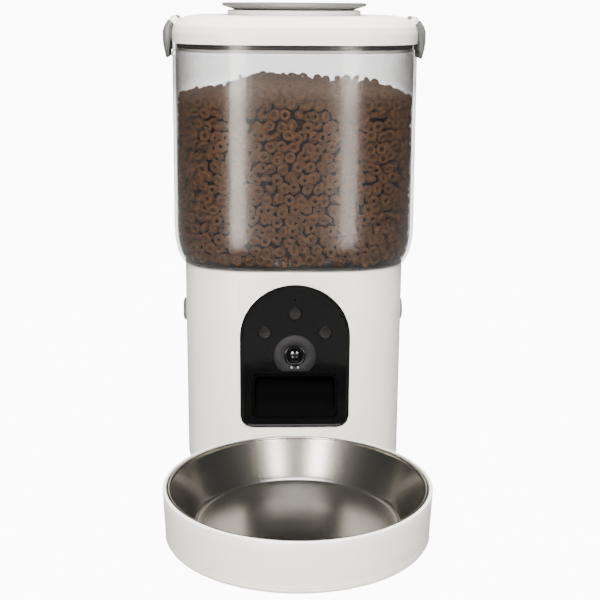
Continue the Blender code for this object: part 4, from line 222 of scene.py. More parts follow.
def turned_metal(name, colour, gloss, centre, line_size=0.0005):
    finish = Finish(name)
    near = finish.node("ShaderNodeMapping", {}, {
        "Vector": finish.place(), "Location": (-centre.x, -centre.y, 0.0)})
    flat = finish.node("ShaderNodeVectorMath", {"operation": "MULTIPLY"}, {0: near, 1: (1, 1, 0)})
    radius = finish.node("ShaderNodeVectorMath", {"operation": "LENGTH"}, {0: flat}, output="Value")
    heading = finish.node("ShaderNodeVectorMath", {"operation": "NORMALIZE"}, {0: flat})
    height = finish.node("ShaderNodeSeparateXYZ", {}, {"Vector": near}, output="Z")
    stretch = finish.node("ShaderNodeCombineXYZ", {}, {"Z": (radius + height) * (1.0 / line_size)})
    lines_at = finish.node("ShaderNodeVectorMath", {"operation": "ADD"}, {0: heading, 1: stretch})
    lines = finish.noise(1.0, 1.0, lines_at)
    cloud = finish.noise(22.0, 3.0)
    finish.shade(
        Base_Color=finish.mixed(lines, tuple(c * 0.98 for c in colour), colour),
        Metallic=1.0,
        Roughness=gloss + lines * 0.02 + cloud * 0.02,
    )
    return finish.material


def plain_metal(name, colour, gloss):
    finish = Finish(name)
    cloud = finish.noise(180.0, 4.0)
    finish.shade(
        Base_Color=finish.mixed(cloud, tuple(c * 0.85 for c in colour), colour),
        Metallic=1.0,
        Roughness=gloss + cloud * 0.12,
        Normal=finish.bump(cloud, 0.00002),
    )
    return finish.material


FINISHES["steel_brushed"] = turned_metal("steel_brushed", (0.29, 0.277, 0.256), 0.23, BOWL_CENTRE)
FINISHES["steel"] = plain_metal("steel", (0.52, 0.52, 0.51), 0.3)
FINISHES["brass"] = plain_metal("brass", (0.62, 0.45, 0.2), 0.28)
print("bowl turned about", BOWL_CENTRE)

# %% [markdown]
# The circuit boards and the lens are small, but they show when the feeder is opened or turned. A
# brick pattern reads as copper tracks. The lens turns dark violet towards its edge, a painted sheen
# that stands for the coloured reflection of coated glass.

# %% Board and lens
def board(name, colour):
    finish = Finish(name)
    tracks = finish.node("ShaderNodeTexBrick", {}, {
        "Vector": finish.place(), "Scale": 160.0, "Color1": (*colour, 1.0),
        "Color2": (colour[0] * 1.6, colour[1] * 1.3, colour[2] * 1.4, 1.0),
        "Mortar": (colour[0], colour[1] * 0.5, colour[2], 1.0)})
    finish.shade(Base_Color=tracks, Roughness=0.32 + finish.noise(400.0) * 0.1)
    return finish.material


FINISHES["green_board"] = board("green_board", (0.02, 0.13, 0.05))


def coated_lens(name):
    finish = Finish(name)
    # The violet towards the edge is a painted sheen, for the coloured reflection of a coated lens.
    edge = finish.node("ShaderNodeLayerWeight", {}, {"Blend": 0.4}, output="Facing")
    finish.shade(
        Base_Color=finish.mixed(edge, (0.003, 0.003, 0.005), (0.009, 0.006, 0.014)),
        Roughness=0.03 + finish.noise(300.0) * 0.02,
        Specular_IOR_Level=0.4,
    )
    return finish.material


FINISHES["lens_glass"] = coated_lens("lens_glass")
print(len(FINISHES), "finishes so far")

# %% [markdown]
# Every solid of the model names the material that it is moulded, pressed or cut from. That name picks
# its finish, so a solid which keeps its own mesh is dressed here already.

# %% Dressing the solids
for part in frame["record"]["subparts"]:
    solid = frame["nodes"][part["node"]]
    solid.data.materials.clear()
    solid.data.materials.append(FINISHES[part["material_slot"]])

# %% [markdown]
# A finished mesh becomes a piece in one call: it gets its object, its finish and its body, and the
# solid that it stands for, if any, is hidden. Smooth normals end at edges that are sharper than an
# angle, which each piece may set for itself.


def piece(name, bm, slot, body, stands_for=(), sharp=math.radians(32), finish=None):
    bmesh.ops.remove_doubles(bm, verts=bm.verts, dist=0.000001)
    bmesh.ops.recalc_face_normals(bm, faces=bm.faces)
    mesh = bpy.data.meshes.new(name)
    bm.to_mesh(mesh)
    bm.free()
    mesh.shade_smooth()
    mesh.set_sharp_from_angle(angle=sharp)
    made = bpy.data.objects.new(name, mesh)
    bpy.context.scene.collection.objects.link(made)
    mesh.materials.append(FINISHES[finish or slot])
    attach(made, body)
    if stands_for:
        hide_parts(*stands_for)
    print(name, len(mesh.polygons), "faces")


# %% [markdown]
# The body's plan is a superellipse, between an ellipse and a rectangle. It could be drawn as a box
# with rounded corners, but one power gives the whole curve, and the shells and the food inside them
# then follow the same line.

# %% The body's plan
BASE_LOW, BASE_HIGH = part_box("base_housing")
AXIS_Y = (BASE_LOW.y + BASE_HIGH.y) / 2
SECTION_POWER = 3.5


def on_section(turn):
    """A point of the plan, as shares of its half width and its half depth."""
    across, along = math.cos(turn), math.sin(turn)
    return (math.copysign(abs(across) ** (2 / SECTION_POWER), across),
            math.copysign(abs(along) ** (2 / SECTION_POWER), along))


print("body axis at y", AXIS_Y)

# %% [markdown]
# The solids are drawn with few points round. For the picture each large shell is copied, its faces
# are divided, and every point moves out from the straight facet to the true curve. The holes, ears
# and ribs stay where the mould has them, while the walls become round.

# %% Rounding a body shell
BODY_FACETS = 40
INNER_PARTS = 0.6
SHELL_FROM = 0.68
SHELL_FADE = 0.1
CORNERS = [Vector(on_section(math.tau * i / BODY_FACETS)) for i in range(BODY_FACETS + 1)]
HEADINGS = [math.atan2(c.y, c.x) % math.tau for c in CORNERS[:-1]] + [math.tau]


def body_rounding(half_width, half_depth):
    """Moves a point of a body shell from its facet out to the superellipse."""
    power = SECTION_POWER

    def rounded(co):
        flat = Vector((co.x / half_width, (co.y - AXIS_Y) / half_depth))
        if flat.length < INNER_PARTS:
            return co
        turn = math.atan2(flat.y, flat.x) % math.tau
        i = min(bisect.bisect_right(HEADINGS, turn), BODY_FACETS) - 1
        start, side = CORNERS[i], CORNERS[i + 1] - CORNERS[i]
        heading = flat.normalized()
        facet = start.cross(side) / heading.cross(side)
        true = (abs(heading.x) ** power + abs(heading.y) ** power) ** (-1 / power)
        share = min(max((flat.length / true - SHELL_FROM) / SHELL_FADE, 0.0), 1.0)
        grow = 1 + (true / facet - 1) * share
        return Vector((co.x * grow, AXIS_Y + (co.y - AXIS_Y) * grow, co.z))
    return rounded


print(len(CORNERS) - 1, "facets round the body")

# %% [markdown]
# A turned piece, such as the cap or the tray, is rounded in the same way about its own axis. Each
# point keeps its heading and moves out by the share that its facet cuts off the circle.

# %% Rounding a turned piece
def turned_rounding(centre, facets, nearest=0.0, across="xy"):
    """Moves a point of a turned piece from its facet out to the circle."""
    first, second = ("xyz".index(letter) for letter in across)

    def rounded(co):
        a, b = co[first] - centre[0], co[second] - centre[1]
        if math.hypot(a, b) <= nearest:
            return co
        step = math.tau / facets
        lean = math.atan2(b, a) % step - step / 2
        grow = math.cos(lean) / math.cos(step / 2)
        moved = co.copy()
        moved[first] = centre[0] + a * grow
        moved[second] = centre[1] + b * grow
        return moved
    return rounded


# %% [markdown]
# The copy itself is one helper. It takes a solid's mesh, merges its loose triangles, divides them,
# moves the points and puts the result in the solid's place. A copy keeps every hole and rib, which a
# shell modelled afresh would have to repeat.

# %% A finer copy of a solid
SLOT_OF = {part["node"]: part["material_slot"] for part in frame["record"]["subparts"]}


def same(co):
    return co


def finer(node, body, rounding=same, cuts=3, sharp=math.radians(14), finish=None):
    """A finer copy of a solid, which takes its place in the picture."""
    bm = bmesh.new()
    bm.from_mesh(frame["nodes"][node].data)
    bmesh.ops.remove_doubles(bm, verts=bm.verts, dist=0.000001)
    if cuts:
        bmesh.ops.subdivide_edges(bm, edges=bm.edges[:], cuts=cuts, use_grid_fill=True)
    for vert in bm.verts:
        vert.co = rounding(vert.co)
    piece(node + "_smooth", bm, SLOT_OF[node], body, (node,), sharp, finish)


# %% [markdown]
# The front panel ends in an arch, and the housing has an opening of the same shape round it. Only
# points near the arch are turned about its centre. The push fades out away from it, so that the
# housing's outer wall keeps its own curve.

# %% The arch
PANEL_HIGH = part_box("front_panel")[1]
PANEL_RIM = 0.0035
ARCH_RADIUS = 0.042
ARCH_Z = PANEL_HIGH.z - PANEL_RIM - ARCH_RADIUS
ARCH_FACETS = 28
ARCH_FROM = 0.85
ARCH_TO = 1.4
ARCH_FADE = 0.3


def arch_rounding(before=same):
    """Rounds what lies near the panel's arch, in the panel and in the opening that it fills."""
    turned = turned_rounding((0.0, ARCH_Z), ARCH_FACETS, across="xz")

    def rounded(co):
        co = before(co)
        reach = math.hypot(co.x, co.z - ARCH_Z) / ARCH_RADIUS
        if co.z < ARCH_Z or co.y > PANEL_HIGH.y or not ARCH_FROM < reach < ARCH_TO:
            return co
        return co.lerp(turned(co), min((ARCH_TO - reach) / ARCH_FADE, 1.0))
    return rounded


print("arch centre at z", ARCH_Z)

# %% [markdown]
# Each large shell now gets its own curve. The base and its cover share one superellipse, and the
# hopper, the lid and its seal share a wider one. The camera's disc is flat and only needs its own
# matte black.

# %% The base and the hopper
BASE_HALF = Vector((0.086, 0.076))
HOPPER_HALF = Vector((0.094, 0.084))
finer("base_housing", "base", arch_rounding(body_rounding(*BASE_HALF)))
finer("front_panel", "base", arch_rounding(), sharp=math.radians(8))
finer("camera_disc", "base", cuts=0, sharp=math.radians(30), finish="matte_disc")
for node, body, half in (
    ("base_cover", "base", BASE_HALF),
    ("hopper", "hopper", HOPPER_HALF),
    ("lid_shell", "lid", HOPPER_HALF),
    ("lid_plug", "lid", HOPPER_HALF),
    ("lid_gasket", "lid", HOPPER_HALF),
):
    finer(node, body, body_rounding(*half))

# %% [markdown]
# The grey cap, its cup and the ring that it screws on are turned about the body's axis. Points near
# the axis, such as those of the two finger hollows in the cap, aren't on the circle and stay where
# they are.

# %% The cap
AXIS = (0.0, AXIS_Y)
CAP_FACETS = 34
for node, body, nearest in (
    ("cap_neck_ring", "lid", 0.0),
    ("desiccant_cap", "cap", 0.04),
    ("desiccant_cup", "cap", 0.03),
):
    finer(node, body, turned_rounding(AXIS, CAP_FACETS, nearest))

# %% [markdown]
# The white tray is turned too, and its wall meets the table in a tight fillet. The solid's fillet is
# larger, so the points on it move out to the tighter one while the tray is rounded.

# %% The tray
TRAY_AXIS = (0.0, BOWL_CENTRE.y)
TRAY_FACETS = 44
TRAY_INNER = 0.03
TRAY_LOW, TRAY_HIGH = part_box("bowl_tray")
TRAY_FOOT = TRAY_HIGH.x - 0.0012
CAST_ROUND = 0.008
SHOWN_ROUND = 0.0028
ON_FILLET = 0.0006


def fillet(rise, radius):
    """The tray's radius at a height above the table, with a fillet of a given radius at its foot."""
    drop = max(radius - rise, 0.0)
    return TRAY_FOOT - radius + math.sqrt(max(radius ** 2 - drop ** 2, 0.0))


def tray_rounding():
    """Rounds the tray, and tightens the fillet round its foot."""
    turned = turned_rounding(TRAY_AXIS, TRAY_FACETS, TRAY_INNER)

    def rounded(co):
        co = turned(co)
        across, along = co.x - TRAY_AXIS[0], co.y - TRAY_AXIS[1]
        reach = math.hypot(across, along)
        rise = co.z - TRAY_LOW.z
        if rise > CAST_ROUND or abs(reach - fillet(rise, CAST_ROUND)) > ON_FILLET:
            return co
        grow = 1 + (fillet(rise, SHOWN_ROUND) - fillet(rise, CAST_ROUND)) / reach
        return Vector((TRAY_AXIS[0] + across * grow, TRAY_AXIS[1] + along * grow, co.z))
    return rounded


finer("bowl_tray", "tray", tray_rounding())

# %% [markdown]
# The latches and the release buttons are flat sided, so they only need smooth normals. Each of the
# three round buttons in the panel is turned about its own centre, along y.

# %% Latches and buttons
BUTTON_FACETS = 12
FLAT_SIDED = math.radians(40)


def middle(node):
    low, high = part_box(node)
    return (low + high) / 2


for side in ("left", "right"):
    finer("latch_" + side, "latch_" + side, cuts=0, sharp=FLAT_SIDED)
    finer("release_button_" + side, "release_" + side, cuts=0, sharp=FLAT_SIDED)
for place in ("top", "left", "right"):
    centre = middle("button_" + place)
    finer("button_" + place, "button_" + place,
          turned_rounding((centre.x, centre.z), BUTTON_FACETS, across="xz"))

# %% [markdown]
# A turned bezel hides the joint between the camera's barrel and the matte disc round it. It is a
# ring with a rounded crest and a funnel that falls in towards the lens. Its section is drawn once,
# as a radius and a y for each corner, and spun round the lens.

# %% Camera bezel
DISC_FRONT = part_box("camera_disc")[0].y
LENS_CENTRE = middle("camera_lens")
BEZEL_STEPS = 64
BEZEL = [
    (0.0082, DISC_FRONT), (0.0080, DISC_FRONT - 0.0005), (0.0072, DISC_FRONT - 0.0007),
    (0.0064, DISC_FRONT - 0.0005), (0.0056, DISC_FRONT + 0.0003), (0.0049, DISC_FRONT + 0.0022),
    (0.0053, DISC_FRONT + 0.0022), (0.0060, DISC_FRONT + 0.0006), (0.0066, DISC_FRONT),
]
bezel = bmesh.new()
bezel_verts = [bezel.verts.new((LENS_CENTRE.x + radius, y, LENS_CENTRE.z)) for radius, y in BEZEL]
bezel_edges = [bezel.edges.new(pair) for pair in zip(bezel_verts, bezel_verts[1:] + bezel_verts[:1])]
bmesh.ops.spin(bezel, geom=bezel_verts + bezel_edges, cent=LENS_CENTRE, axis=(0, 1, 0),
               dvec=(0, 0, 0), angle=math.tau, steps=BEZEL_STEPS, use_merge=True, use_duplicate=False)
piece("camera_bezel", bezel, "gloss_black", "base")

# %% [markdown]
# The bowl is pressed from steel sheet about 1 mm thick: a rolled rim, a straight flared wall, and a
# groove and a bead where the wall meets a floor that rises a little in the middle. Its half section
# is written from the solid's own box; cutting its corners a few times gives the fillets.

# %% The bowl's section
ROLL = 0.0011
SHEET = 0.0009
BEAD = 0.0016
DOME = 0.0012
DOME_POINTS = 10
DOME_SHARE = 0.97
FLOOR_INSET = 0.0205
ROLL_STEPS = 12
ROLL_FROM = 190
ROLL_TURN = 220


def corners_cut(points, times):
    """Cuts each corner of a line at a quarter of its sides, which rounds it more each time."""
    for _ in range(times):
        cut = [points[0]]
        for (r0, z0), (r1, z1) in zip(points, points[1:]):
            cut.append((r0 * 0.75 + r1 * 0.25, z0 * 0.75 + z1 * 0.25))
            cut.append((r0 * 0.25 + r1 * 0.75, z0 * 0.25 + z1 * 0.75))
        points = cut + [points[-1]]
    return points


def bowl_profile():
    """The sheet's half section: inside from the middle outwards, round the rim and back underneath."""
    rim = BOWL_HIGH.x
    top = BOWL_HIGH.z
    floor_radius = rim - FLOOR_INSET
    floor = BOWL_LOW.z + SHEET + BEAD / 2
    dome = [
        (floor_radius * k / DOME_POINTS * DOME_SHARE, floor + DOME * (1 - (k / DOME_POINTS) ** 2))
        for k in range(DOME_POINTS)
    ]
    inside = dome + [
        (floor_radius - BEAD, floor), (floor_radius, floor + BEAD * 0.35),
        (floor_radius + BEAD, floor - BEAD / 2), (floor_radius + 3 * BEAD, floor + 2 * BEAD),
        (rim - 2 * ROLL, top - 2 * ROLL),
    ]
    inside = corners_cut(inside, 3)
    edge = []
    for k in range(ROLL_STEPS + 1):
        turn = math.radians(ROLL_FROM - ROLL_TURN * k / ROLL_STEPS)
        edge.append((rim - ROLL + ROLL * math.cos(turn), top - ROLL + ROLL * math.sin(turn)))
    under = [(r if r == 0 else r + SHEET * 0.4, z - SHEET) for r, z in inside]
    return inside + edge + under[::-1]


print(len(bowl_profile()), "points in the bowl's section")

# %% [markdown]
# The section is spun into the bowl, as the press and the lathe make it. Many steps keep the rim
# smooth where the light runs along it.

# %% The steel bowl
BOWL_STEPS = 160
sheet_metal = bmesh.new()
rim_verts = [sheet_metal.verts.new((r, BOWL_CENTRE.y, z)) for r, z in bowl_profile()]
rim_edges = [sheet_metal.edges.new(pair) for pair in zip(rim_verts, rim_verts[1:])]
bmesh.ops.spin(sheet_metal, geom=rim_verts + rim_edges, cent=(0, BOWL_CENTRE.y, 0), axis=(0, 0, 1),
               dvec=(0, 0, 0), angle=math.tau, steps=BOWL_STEPS, use_merge=True, use_duplicate=False)
piece("steel_bowl_pressed", sheet_metal, "steel_brushed", "bowl", ("steel_bowl",), math.radians(50))

# %% [markdown]
# Dry food is pressed into rings of about 9 mm. One ring is a spun circle with a slightly uneven
# surface. A few different ones are enough, because each copy is turned its own way, and a ring has
# only a few dozen faces, as there are many of them.

# %% One ring of food
RING_RADIUS = 0.0031
RING_THICK = 0.0015
RING_SIDES = 6
RING_STEPS = 10
RING_KINDS = 6
UNEVEN = 0.07


def one_ring(seed):
    bm = bmesh.new()
    verts = bmesh.ops.create_circle(bm, segments=RING_SIDES, radius=RING_THICK)["verts"]
    edges = list(bm.edges)
    bmesh.ops.rotate(bm, verts=verts, cent=(0, 0, 0), matrix=Matrix.Rotation(math.pi / 2, 3, "X"))
    bmesh.ops.scale(bm, verts=verts, vec=(0.92, 1.0, 1.15))
    bmesh.ops.translate(bm, verts=verts, vec=(RING_RADIUS, 0, 0))
    bmesh.ops.spin(bm, geom=verts + edges, axis=(0, 0, 1), cent=(0, 0, 0), dvec=(0, 0, 0),
                   angle=math.tau, steps=RING_STEPS, use_merge=True, use_duplicate=False)
    bmesh.ops.remove_doubles(bm, verts=bm.verts, dist=0.000001)
    own = np.random.default_rng(seed)
    for vert in bm.verts:
        vert.co *= 1.0 + own.uniform(-UNEVEN, UNEVEN)
    bmesh.ops.scale(bm, verts=bm.verts, vec=(1.0, own.uniform(0.86, 1.0), 1.0))
    bmesh.ops.recalc_face_normals(bm, faces=bm.faces)
    mesh = bpy.data.meshes.new("ring")
    bm.to_mesh(mesh)
    bm.free()
    return mesh


RINGS = [one_ring(seed) for seed in range(RING_KINDS)]
print(len(RINGS), "kinds of ring,", len(RINGS[0].polygons), "faces each")

# %% [markdown]
# The food is baked brown, paler where it is dry and darker where it is oily, with a rough crumb. A
# coarse noise sets the tone from one ring to the next and a fine one gives the crumb.

# %% The food's finish
def food_finish():
    finish = Finish("kibble")
    crumb = finish.noise(1400.0, 4.0)
    patch = finish.noise(160.0)
    toned = finish.mixed(patch, (0.055, 0.023, 0.009), (0.27, 0.132, 0.057))
    finish.shade(
        Base_Color=finish.mixed(crumb, toned, (0.14, 0.062, 0.024)),
        Roughness=0.6 + crumb * 0.2,
        Specular_IOR_Level=0.15,
        Normal=finish.bump(crumb, 0.00012),
    )
    return finish.material


FINISHES["kibble"] = food_finish()
# The core's near-black brown is painted shade: it stands for the darkness deep between the rings.
FINISHES["core_shade"] = moulded("core_shade", (0.038, 0.017, 0.0075), 0.9, 0.001, 0.0002, drift=0.3, shine=0.1)
print(len(FINISHES), "finishes in all")

# %% [markdown]
# The hopper's wall curves in at its foot, and above that it has a slight draft, so that it leaves
# the mould. The rings have to know where its inner face is at each height, and where the heap ends.

# %% The space for the food
HOPPER_FLOOR = 0.1700
FLOOR_THICK = 0.0033
HOPPER_WALL = 0.0024
FOOT_OVER = 0.008
FOOT_HEIGHT = 0.026
DRAFT = 0.001
DRAFT_HEIGHT = 0.14
HEAP_TOP = 0.3040
HEAP_FALL = 0.013


def wall_half(z):
    """Half width and half depth inside the hopper's wall at a height."""
    rise = z - HOPPER_FLOOR + FLOOR_THICK
    draw = 0.0
    if rise < FOOT_HEIGHT:
        draw = FOOT_OVER * (1 - math.sqrt(max(0.0, 1 - ((FOOT_HEIGHT - rise) / FOOT_HEIGHT) ** 2)))
    draft = DRAFT * max(rise - FOOT_HEIGHT, 0.0) / DRAFT_HEIGHT
    inset = HOPPER_WALL + draw + draft
    return HOPPER_HALF.x - inset, HOPPER_HALF.y - inset


def level(x, y):
    """The heap's top: highest in the middle, lower at the left and right walls, a little wavy."""
    side = abs(x) / HOPPER_HALF.x
    fall = HEAP_FALL * side ** 1.6
    return HEAP_TOP - fall + 0.002 * math.sin(70 * x + 3) + 0.0015 * math.sin(90 * y)


print("heap from", level(HOPPER_HALF.x, 0.0), "at the wall to", level(0.0, 0.0), "in the middle")

# %% [markdown]
# Letting the rings fall and settle in a simulation would take long. They are placed instead: in
# staggered rows along the wall, each moved a little, and many of them lying nearly flat on it, as
# rings do against a smooth face. The random numbers start from a fixed seed, so each run is alike.

# %% Rings against the wall
rng = np.random.default_rng(7)
OUTLINE_STEPS = 360
ROW_PITCH = 0.0090
ROW_RISE = 0.0077
ROW_FIRST = 0.0050
ROW_LAST = 0.308
ALONG_DRIFT = 0.24
HEIGHT_DRIFT = 0.0016
FLAT_DRIFT = 0.28
EDGE_REACH = RING_RADIUS * 1.05
FLAT_REACH = RING_THICK * 1.2
CLEAR_OF_WALL = 0.0003
CLEAR_OF_TOP = 0.002


def any_normal():
    return Vector(rng.normal(size=3)).normalized()


def along_wall(z, depth, offset):
    """Places along the wall's inner face at a height, each with its direction towards the wall."""
    wide, deep = wall_half(z)
    shares = [on_section(math.tau * i / OUTLINE_STEPS) for i in range(OUTLINE_STEPS)]
    outline = [Vector((x * (wide - depth), y * (deep - depth))) for x, y in shares]
    sides = list(zip(outline, outline[1:] + outline[:1]))
    lengths = [(b - a).length for a, b in sides]
    total = sum(lengths)
    count = int(total / ROW_PITCH)
    along = [(k + offset + rng.uniform(-ALONG_DRIFT, ALONG_DRIFT)) * total / count for k in range(count)]
    run, i = 0.0, 0
    for target in sorted(a % total for a in along):
        while run + lengths[i] < target:
            run += lengths[i]
            i += 1
        a, b = sides[i]
        towards = Vector(((b - a).y, -(b - a).x, 0.0)).normalized()
        yield a.lerp(b, (target - run) / lengths[i]), towards


def wall_layer(depth, flat_share):
    """Rings one layer deep against the wall, in staggered rows up to the heap's top."""
    places = []
    for row in range(int((ROW_LAST - HOPPER_FLOOR) / ROW_RISE)):
        z = HOPPER_FLOOR + ROW_FIRST + row * ROW_RISE
        for at, out in along_wall(z, depth, 0.5 * (row % 2)):
            if rng.random() < flat_share:
                normal = (out + Vector(rng.normal(size=3)) * FLAT_DRIFT).normalized()
            else:
                normal = any_normal()
            lean = math.sqrt(max(0.0, 1 - normal.dot(out) ** 2))
            reach = EDGE_REACH * lean + FLAT_REACH
            height = z + rng.uniform(-HEIGHT_DRIFT, HEIGHT_DRIFT)
            centre = Vector((at.x, AXIS_Y + at.y, height)) - out * (reach + CLEAR_OF_WALL)
            if centre.z < level(centre.x, centre.y) - CLEAR_OF_TOP:
                places.append((centre, normal, rng.uniform(0, math.tau)))
    return places


# %% [markdown]
# The top of the heap shows through the wall and when the lid is off. Two grids of rings lie there,
# one under the other, each ring moved and turned at random.

# %% Rings on top
TOP_PITCH = 0.0082
TOP_SQUEEZE = 0.9
TOP_DRIFT = 0.001
TOP_LIFT = 0.0015
TOP_REACH = 12
TOP_MARGIN = 0.006


def top_layer(drop):
    """Rings in a jittered grid, some way under the heap's top and clear of the wall."""
    places = []
    for i in range(-TOP_REACH, TOP_REACH + 1):
        for j in range(-TOP_REACH, TOP_REACH + 1):
            x = (i + 0.5 * (j % 2)) * TOP_PITCH + rng.uniform(-TOP_DRIFT, TOP_DRIFT)
            y = j * TOP_PITCH * TOP_SQUEEZE + rng.uniform(-TOP_DRIFT, TOP_DRIFT)
            z = level(x, y) - drop + rng.uniform(-TOP_LIFT, TOP_LIFT)
            wide, deep = (half - TOP_MARGIN for half in wall_half(z))
            if (abs(x) / wide) ** SECTION_POWER + (abs(y) / deep) ** SECTION_POWER > 1:
                continue
            places.append((Vector((x, AXIS_Y + y, z)), any_normal(), rng.uniform(0, math.tau)))
    return places


# %% [markdown]
# All the places are drawn first and the rings put there afterwards. Every layer becomes one mesh,
# because thousands of objects would be slow to handle, and the layers ride on the hopper.

# %% The heap
def put_rings(bm, places):
    for centre, normal, turn in places:
        matrix = Matrix.Translation(centre) @ normal.to_track_quat("Z", "Y").to_matrix().to_4x4()
        matrix = matrix @ Matrix.Rotation(turn, 4, "Z")
        mesh = RINGS[int(rng.integers(len(RINGS)))]
        mesh.transform(matrix)
        bm.from_mesh(mesh)
        mesh.transform(matrix.inverted())


layers = {
    "food_outer": wall_layer(0.0, 0.62),
    "food_second": wall_layer(0.0052, 0.4),
    "food_top": top_layer(0.004) + top_layer(0.011),
}
for name, places in layers.items():
    heap = bmesh.new()
    put_rings(heap, places)
    piece(name, heap, "kibble", "hopper", sharp=math.radians(80))
    print(name, len(places), "rings")

# %% [markdown]
# Behind the rings lies a core in near-black painted shade, so that the heap isn't hollow and no light shows
# between them.
# More rings would cost faces that nobody sees. A circle from bmesh is pushed into the body's plan,
# and each extrusion of its edge is pushed on to the next section, up the wall.

# %% The core of the heap
CORE_INSET = 0.0125
CORE_POINTS = 72
CORE_HEIGHTS = (0.175, 0.185, 0.2, 0.25, 0.284)


def push_to_section(verts, half_width, half_depth, z):
    for i, vert in enumerate(verts):
        across, along = on_section(math.tau * i / len(verts))
        vert.co = (half_width * across, AXIS_Y + half_depth * along, z)


def edges_round(bm, verts):
    return [bm.edges.get((a, b)) for a, b in zip(verts, verts[1:] + verts[:1])]


def ordered(before, grown):
    """The extruded copies of a ring's corners, in the ring's own order."""
    new = {v for v in grown if isinstance(v, bmesh.types.BMVert)}
    return [next(e.other_vert(v) for e in v.link_edges if e.other_vert(v) in new) for v in before]


def section_solid(sections, points):
    """A solid through (half width, half depth, height) sections, capped at both ends."""
    bm = bmesh.new()
    verts = bmesh.ops.create_circle(bm, segments=points, radius=1.0)["verts"]
    push_to_section(verts, *sections[0])
    first = edges_round(bm, verts)
    edges = first
    for section in sections[1:]:
        grown = bmesh.ops.extrude_edge_only(bm, edges=edges)["geom"]
        verts = ordered(verts, grown)
        push_to_section(verts, *section)
        edges = edges_round(bm, verts)
    bmesh.ops.holes_fill(bm, edges=first)
    bmesh.ops.holes_fill(bm, edges=edges)
    return bm


core_sections = [(*(half - CORE_INSET for half in wall_half(z)), z) for z in CORE_HEIGHTS]
piece("food_core", section_solid(core_sections, CORE_POINTS), "core_shade", "hopper")

# %% [markdown]
# The studio has soft lights: a large one overhead, a broad one above the camera, and two upright
# strips beside the camera, which draw the two tall highlights on the hopper. One more stands behind,
# for the views from the back, and a card over the bowl shows only in its steel.

# %% Lamps
WARM = (1.0, 0.93, 0.85)


def lamp(name, place, aim, wide, tall, power, mirrored=True, lights=True, tint=(1, 1, 1)):
    """A soft rectangle of light. It may be left out of mirrorings, or only show in them."""
    data = bpy.data.lights.new(name, "AREA")
    data.shape = "RECTANGLE"
    data.size = wide
    data.size_y = tall
    data.energy = power
    data.color = tint
    made = bpy.data.objects.new(name, data)
    made.location = place
    made.visible_glossy = mirrored
    made.visible_diffuse = lights
    made.rotation_euler = (Vector(aim) - Vector(place)).to_track_quat("-Z", "Y").to_euler()
    bpy.context.scene.collection.objects.link(made)
    print(name, power, "W")


lamp("softbox_top", (0.0, 0.1, 1.5), (0, 0.05, 0.0), 1.1, 1.1, 84.0, mirrored=False)
lamp("card_bowl", (0.0, -0.6, 1.35), (0, -0.1, 0.03), 1.0, 0.6, 26.0, lights=False)
lamp("softbox_front", (-0.1, -1.4, 0.85), (0, 0.05, 0.15), 0.7, 0.6, 72.0, mirrored=False)
lamp("softbox_back", (0.0, 1.4, 0.85), (0, 0.1, 0.2), 1.2, 0.6, 42.0, mirrored=False)
lamp("strip_left", (-0.205, -0.52, 0.209), (-0.04, 0.0, 0.209), 0.1, 0.56, 10.5, lights=False, tint=WARM)
lamp("strip_right", (0.19, -0.52, 0.209), (0.04, 0.0, 0.209), 0.1, 0.56, 6.4, lights=False, tint=WARM)

# %% [markdown]
# The background is lit to near white for the camera, while it stays a dim grey for the object, so
# that the black panel and the dark hopper keep their depth. One strength for each kind of ray does
# that, and the strengths are added up.

# %% The surroundings
WORLD_GLOW = {"Is Camera Ray": 11.0, "Is Diffuse Ray": 0.07, "Is Glossy Ray": 0.09}
world = bpy.data.worlds.new("studio")
world.use_nodes = True
nodes, links = world.node_tree.nodes, world.node_tree.links
rays = nodes.new("ShaderNodeLightPath")
previous = None
for rays_kind, strength in WORLD_GLOW.items():
    glow = nodes.new("ShaderNodeMath")
    glow.operation = "MULTIPLY_ADD"
    glow.inputs[1].default_value = strength
    glow.inputs[2].default_value = 0.0
    links.new(rays.outputs[rays_kind], glow.inputs[0])
    if previous:
        links.new(previous.outputs[0], glow.inputs[2])
    previous = glow
links.new(previous.outputs[0], nodes["Background"].inputs["Strength"])
nodes["Background"].inputs["Color"].default_value = (1.0, 1.0, 1.0, 1.0)
bpy.context.scene.world = world
print(len(WORLD_GLOW), "strengths in the surroundings")

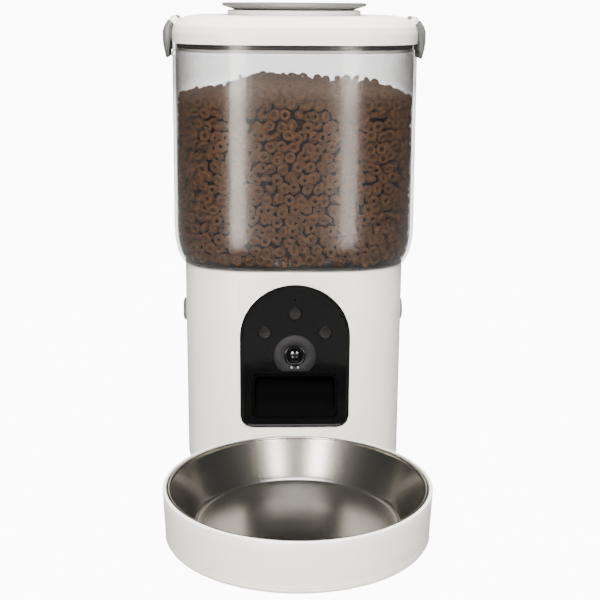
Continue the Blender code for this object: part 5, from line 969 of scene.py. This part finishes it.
# %% [markdown]
# The floor is one plain grid. It is a grey bounce for the object, and most of it glows for the
# camera only, which leaves a soft contact shadow on a nearly white ground.

# %% The floor
FLOOR_HALF = 9.0
FLOOR_GLOW = 14.0
GLOW_SHARE = 0.8
floor = bmesh.new()
bmesh.ops.create_grid(floor, x_segments=1, y_segments=1, size=FLOOR_HALF)
floor_mesh = bpy.data.meshes.new("studio_floor")
floor.to_mesh(floor_mesh)
floor.free()
studio_floor = bpy.data.objects.new("studio_floor", floor_mesh)
bpy.context.scene.collection.objects.link(studio_floor)
pale = Finish("pale_floor")
pale.shade(Base_Color=pale.mixed(pale.noise(3.0), (0.21, 0.21, 0.21), (0.225, 0.225, 0.225)), Roughness=0.7)
lit = pale.node("ShaderNodeEmission", {}, {"Color": (1.0, 1.0, 1.0, 1.0), "Strength": FLOOR_GLOW})
seen = pale.node("ShaderNodeLightPath", output="Is Camera Ray")
sweep = pale.node("ShaderNodeMixShader", {}, {
    0: seen * GLOW_SHARE, 1: Wire(pale, pale.shader.outputs[0]), 2: lit})
pale.put(pale.tree.nodes["Material Output"].inputs["Surface"], sweep)
floor_mesh.materials.append(pale.material)
print("floor", 2 * FLOOR_HALF, "m across")

# %% [markdown]
# The camera stands where the photograph's stood: just left of the middle, a little above the lid,
# and tipped down. Its numbers come from fitting the model's outline to the picture.

# %% Camera
CAMERA_PLACE = (-0.0219, -0.8491, 0.3678)
CAMERA_TURN = -0.0295
CAMERA_TIP = 0.2524
CAMERA_LEAN = 0.0062
lens = bpy.data.cameras.new("camera")
lens.lens = 71.0
lens.sensor_width = 36.0
lens.clip_end = 20.0
camera = bpy.data.objects.new("camera", lens)
camera.matrix_world = (
    Matrix.Translation(CAMERA_PLACE)
    @ Matrix.Rotation(CAMERA_TURN, 4, "Z")
    @ Matrix.Rotation(math.pi / 2 - CAMERA_TIP, 4, "X")
    @ Matrix.Rotation(CAMERA_LEAN, 4, "Z")
)
bpy.context.scene.collection.objects.link(camera)
bpy.context.scene.camera = camera
print("camera at", CAMERA_PLACE)
